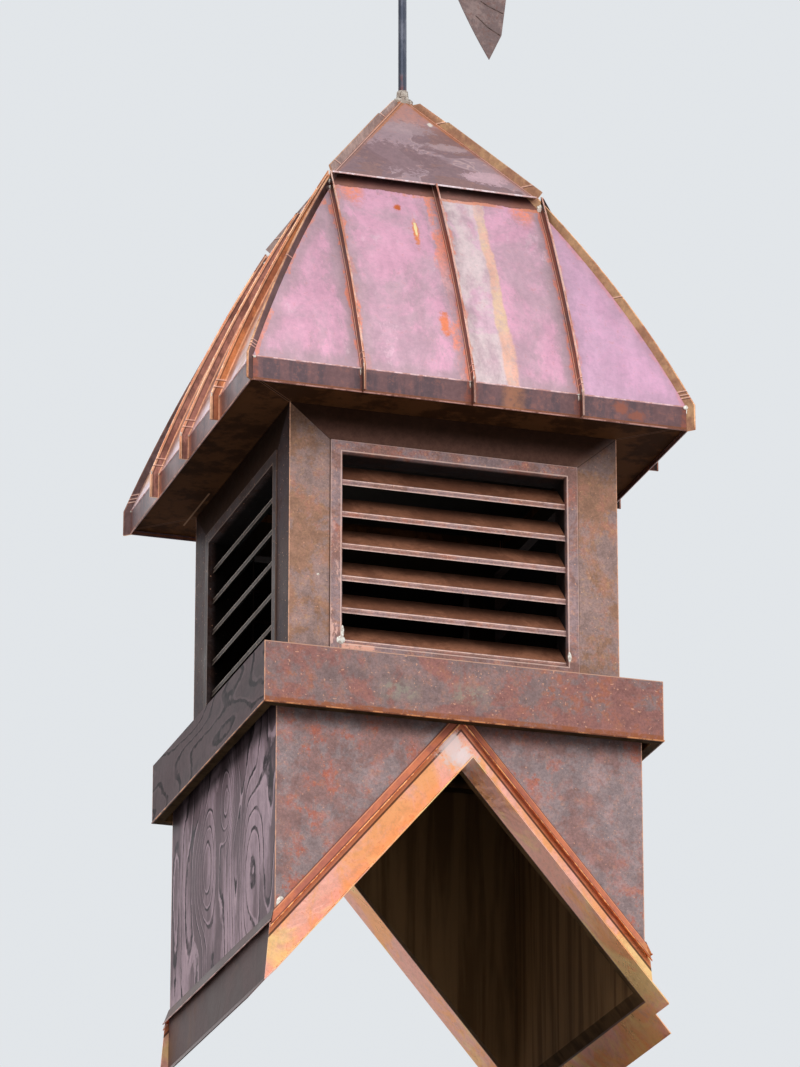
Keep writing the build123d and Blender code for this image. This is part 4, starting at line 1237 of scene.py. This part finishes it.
# %% Folds along the seams
FOLD_WIDTH, FOLD_HEIGHT, FOLD_ABOVE, FOLD_STEPS = 0.0042, 0.0028, 0.0182, 16
CAP_GAP, HIP_GAP, FOOT_GAP = 0.004, 0.006, 0.0006


def fold_path(across, top_z, above):
    """Points of the fold's middle from the fascia's foot to a height, at a place along the eave."""
    bend_out = eave_half + above
    bend_z = centre_z + math.sqrt((curve_radius + above) ** 2 - (bend_out - centre_h) ** 2)
    heights = [bend_z + (top_z - bend_z) * step / FOLD_STEPS for step in range(1, FOLD_STEPS + 1)]
    points = [(fascia_foot + FOOT_GAP, bend_out), (bend_z, bend_out)]
    points += [(z, roof_half(z, above)) for z in heights]
    return [Vector((across, -out, z)) for z, out in points]


def run_fold(points, width, height):
    """A bar with a flat foot, extruded along points in the plane that faces sideways."""
    bpy.ops.mesh.primitive_plane_add(size=1, location=points[0])
    bar = bpy.context.object
    bar.scale = (width, height, 1)
    edited(bar)
    for start, end in zip(points, points[1:]):
        bpy.ops.mesh.extrude_region_move(TRANSFORM_OT_translate={"value": end - start})
    bpy.ops.object.mode_set(mode="OBJECT")
    bevel = bar.modifiers.new("rounded", "BEVEL")
    bevel.width, bevel.segments, bevel.limit_method = min(width, height) * 0.25, 2, "ANGLE"
    bevel.angle_limit = math.radians(50)
    bpy.ops.object.modifier_apply(modifier="rounded")
    return bar


def on_corners(bar, name, finish):
    """Turns a bar from the front to a corner and copies it to the other three."""
    hand_over(bar, name, finish)
    bar.data.transform(Matrix.Rotation(math.radians(45), 4, "Z"))
    round_the_sides(bar, name)


seam_places = [-SEAM_SPACING, 0.0, SEAM_SPACING]
for number, across in enumerate(seam_places, 1):
    top_z = cap_z - CAP_GAP
    while across and roof_half(top_z) < abs(across) + HIP_GAP:
        top_z -= 0.002
    fold = run_fold(fold_path(across, top_z, FOLD_ABOVE), FOLD_WIDTH, FOLD_HEIGHT)
    round_the_sides(hand_over(fold, "seam_fold", fold_finish), f"seam_fold_{number}")
print("seam folds", len(seam_places) * len(SIDES), "top of the outer ones", round(top_z, 4))

# %% [markdown]
# The hips are lower than the seams and run on the roof's corners, where both sheets lean at once. The
# same path serves if it is stretched by the square root of two, because a corner is that much further
# from the axis than a face, and then turned by 45 degrees.

# %% Folds along the hips
HIP_FOLD_WIDTH, SUNK = 0.0050, 0.0004
FOLD_RIGHT, FOLD_LEFT = ((214, 164, 120), (176, 118, 84)), ((146, 104, 92), (118, 80, 70))
FOLD_TOP = ((224, 172, 132), (192, 128, 92))
hip_fold_finish = hip_copper("hip_fold_copper", HIP_LAPS, FOLD_RIGHT, FOLD_LEFT, FOLD_TOP)
hip_above = HIP_HEIGHT - (FOLD_HEIGHT / 2 + SUNK) / math.sqrt(2)
hip_points = [Vector((0, p.y * math.sqrt(2), p.z)) for p in fold_path(0.0, cap_z - CAP_GAP, hip_above)]
on_corners(run_fold(hip_points, HIP_FOLD_WIDTH, FOLD_HEIGHT), "hip_fold", hip_fold_finish)
print("hip folds", len(SIDES))

# %% [markdown]
# The strips on the cap's corners go on up to the mast's collar as shorter pieces that lap over the
# long ones. They use the fold's way of working: a small rectangle, extruded along the corner's line.

# %% Heads of the cap's strips
STRIP_WIDTH, STRIP_HEIGHT = 0.0042, 0.0186
HEAD_HEIGHTS, HEAD_SUNK = (2.044, 2.060, 2.076, 2.092, 2.108), 0.001
cap_slope = (apex_z - cap_z) / (cap_half * math.sqrt(2))
level_height = STRIP_HEIGHT * math.sqrt(1 + cap_slope**2) / cap_slope
corners_out = [(apex_z - z) / cap_slope + level_height / 2 - HEAD_SUNK for z in HEAD_HEIGHTS]
head_points = [Vector((0, -out, z)) for out, z in zip(corners_out, HEAD_HEIGHTS)]
head = run_fold(head_points, STRIP_WIDTH, level_height)
on_corners(head, "cap_strip_head", cap_strip_finish)
print("heads of strips", len(SIDES), "level height", round(level_height, 4))

# %% [markdown]
# Solder was wiped on wherever two sheets meet on an edge: at the foot of every seam, at the corners of
# the eave, under the corners of the cap and round the opening. A blob starts as a small ball that is
# flattened, roughened with a fixed seed and smoothed, and sits half in the sheet.

# %% Solder
solder = Finish("solder", metallic=0.25, roughness=0.45)
clouds = solder.cloud(160, detail=5, roughness=0.7)
solder.tone = solder.blend(clouds, 0.44, 0.58, (230, 226, 216), (186, 170, 158))
solder.paint()
solder.dents(clouds, 0.4, 0.001)


def blob(place, size, seed):
    """A roughened ball of a size at a place."""
    bpy.ops.mesh.primitive_ico_sphere_add(subdivisions=3, radius=0.5, location=place)
    ball = bpy.context.object
    ball.scale = size
    edited(ball)
    bpy.ops.transform.vertex_random(offset=min(size) * 0.35, uniform=0.8, normal=0.2, seed=seed)
    bpy.ops.mesh.vertices_smooth(factor=0.5, repeat=2)
    bpy.ops.object.mode_set(mode="OBJECT")
    return ball


def blobs(name, places, finish=solder):
    """Several blobs as one piece; each is a place and a size."""
    balls = [blob(place, size, seed) for seed, (place, size) in enumerate(places, 1)]
    return hand_over(joined(balls), name, finish)


FACE_Y, CORNER_OUT = -eave_half, eave_half + 0.004
SEAM_SOLDER = (
    ((-0.0038, FACE_Y - 0.0006, eave_z - 0.0010), (0.0056, 0.0030, 0.0044)),
    ((0.0040, FACE_Y - 0.0006, eave_z - 0.0004), (0.0060, 0.0030, 0.0036)),
    ((-0.0034, FACE_Y - 0.0002, eave_z - 0.0080), (0.0032, 0.0014, 0.0140)),
    ((0.0000, FACE_Y - 0.0176, eave_z + 0.0020), (0.0070, 0.0042, 0.0110)),
)
HIP_SOLDER = (
    ((CORNER_OUT - 0.008, FACE_Y - 0.0015, eave_z - 0.0020), (0.0110, 0.0050, 0.0100)),
    ((CORNER_OUT - 0.006, FACE_Y - 0.0006, eave_z - 0.0090), (0.0034, 0.0016, 0.0130)),
    ((eave_half + 0.0006, FACE_Y + 0.0060, eave_z - 0.0020), (0.0030, 0.0070, 0.0050)),
)
HIP_TOP_Z = 1.805
top_half = roof_half(HIP_TOP_Z) + 0.006
HIP_TOP_SOLDER = (
    ((top_half - 0.003, -top_half + 0.003, HIP_TOP_Z), (0.0170, 0.0170, 0.0230)),
    ((top_half + 0.004, -top_half + 0.003, HIP_TOP_Z - 0.016), (0.0090, 0.0080, 0.0140)),
)
seam_solder = blobs("seam_solder", SEAM_SOLDER)
for number, across in ((1, -SEAM_SPACING), (3, SEAM_SPACING)):
    for side, turn in SIDES.items():
        twin(seam_solder, f"seam_solder_{number}_{side}", turn, shift=(across, 0, 0))
round_the_sides(seam_solder, "seam_solder_2")
round_the_sides(blobs("hip_solder", HIP_SOLDER), "hip_solder")
round_the_sides(blobs("hip_top_solder", HIP_TOP_SOLDER), "hip_top_solder")
print("pieces of solder", (len(seam_places) + 2) * len(SIDES))

# %% Solder on the walls
WALL_Y = -box_half - 0.0030
WALL_SOLDER = (
    ((-0.2400, WALL_Y, 0.7600), (0.0190, 0.0028, 0.0180)),
    ((-0.2370, WALL_Y, 0.7780), (0.0070, 0.0022, 0.0280)),
    ((0.2410, WALL_Y, 0.7740), (0.0080, 0.0022, 0.0240)),
    ((-0.2870, -box_half, 0.8950), (0.0060, 0.0014, 0.0050)),
)
BASE_SOLDER = (
    ((-0.3690, -base_half, 0.1930), (0.0190, 0.0034, 0.0340)),
    ((-0.3730, -base_half, 0.1740), (0.0140, 0.0030, 0.0260)),
)
APEX_SEALANT = (
    ((-0.0120, -0.0080, apex_z - 0.0040), (0.0180, 0.0160, 0.0120)),
    ((0.0110, -0.0100, apex_z - 0.0080), (0.0160, 0.0150, 0.0140)),
    ((0.0040, 0.0120, apex_z - 0.0050), (0.0200, 0.0150, 0.0130)),
)
blobs("opening_solder", WALL_SOLDER)
blobs("base_solder", BASE_SOLDER)
blobs("apex_sealant", APEX_SEALANT, sealant)
print("blobs on the walls and the apex", len(WALL_SOLDER + BASE_SOLDER + APEX_SEALANT))

# %% [markdown]
# The vane's tail is a feather cut from sheet. Its quill and barbs are raised; the barbs are thin rods
# let half into both lobes, and the quill is not made. A rod is a cylinder laid between two points; the
# lower lobe's rods are copied to the upper one by mirroring the mesh in the arm's height.

# %% Barbs of the vane's tail
BARB_RADIUS = 0.0021
BARB_LINES = (
    ((0.1780, 2.3838), (0.1945, 2.3745), (0.2270, 2.3622)),
    ((0.1664, 2.3477), (0.1942, 2.3235), (0.2200, 2.3095)),
)
barb_finish = worn_copper("barb_copper", (66, 50, 46), (92, 74, 68), 60)


def laid_rod(start, end, radius):
    """A cylinder in the vane's plane between two points that are given as x and z."""
    low, high = Vector((start[0], 0, start[1])), Vector((end[0], 0, end[1]))
    bpy.ops.mesh.primitive_cylinder_add(
        vertices=8, radius=radius, depth=(high - low).length + radius, location=(low + high) / 2,
        rotation=(high - low).to_track_quat("Z", "Y").to_euler(),
    )
    return bpy.context.object


for number, points in enumerate(BARB_LINES, 1):
    rods = [laid_rod(start, end, BARB_RADIUS) for start, end in zip(points, points[1:])]
    barb = hand_over(joined(rods), f"tail_barb_lower_{number}", barb_finish, "vane")
    mirrored(barb, f"tail_barb_upper_{number}", (0, 0, 1), (0, 0, 2 * arm_z))
print("barbs", 2 * len(BARB_LINES))
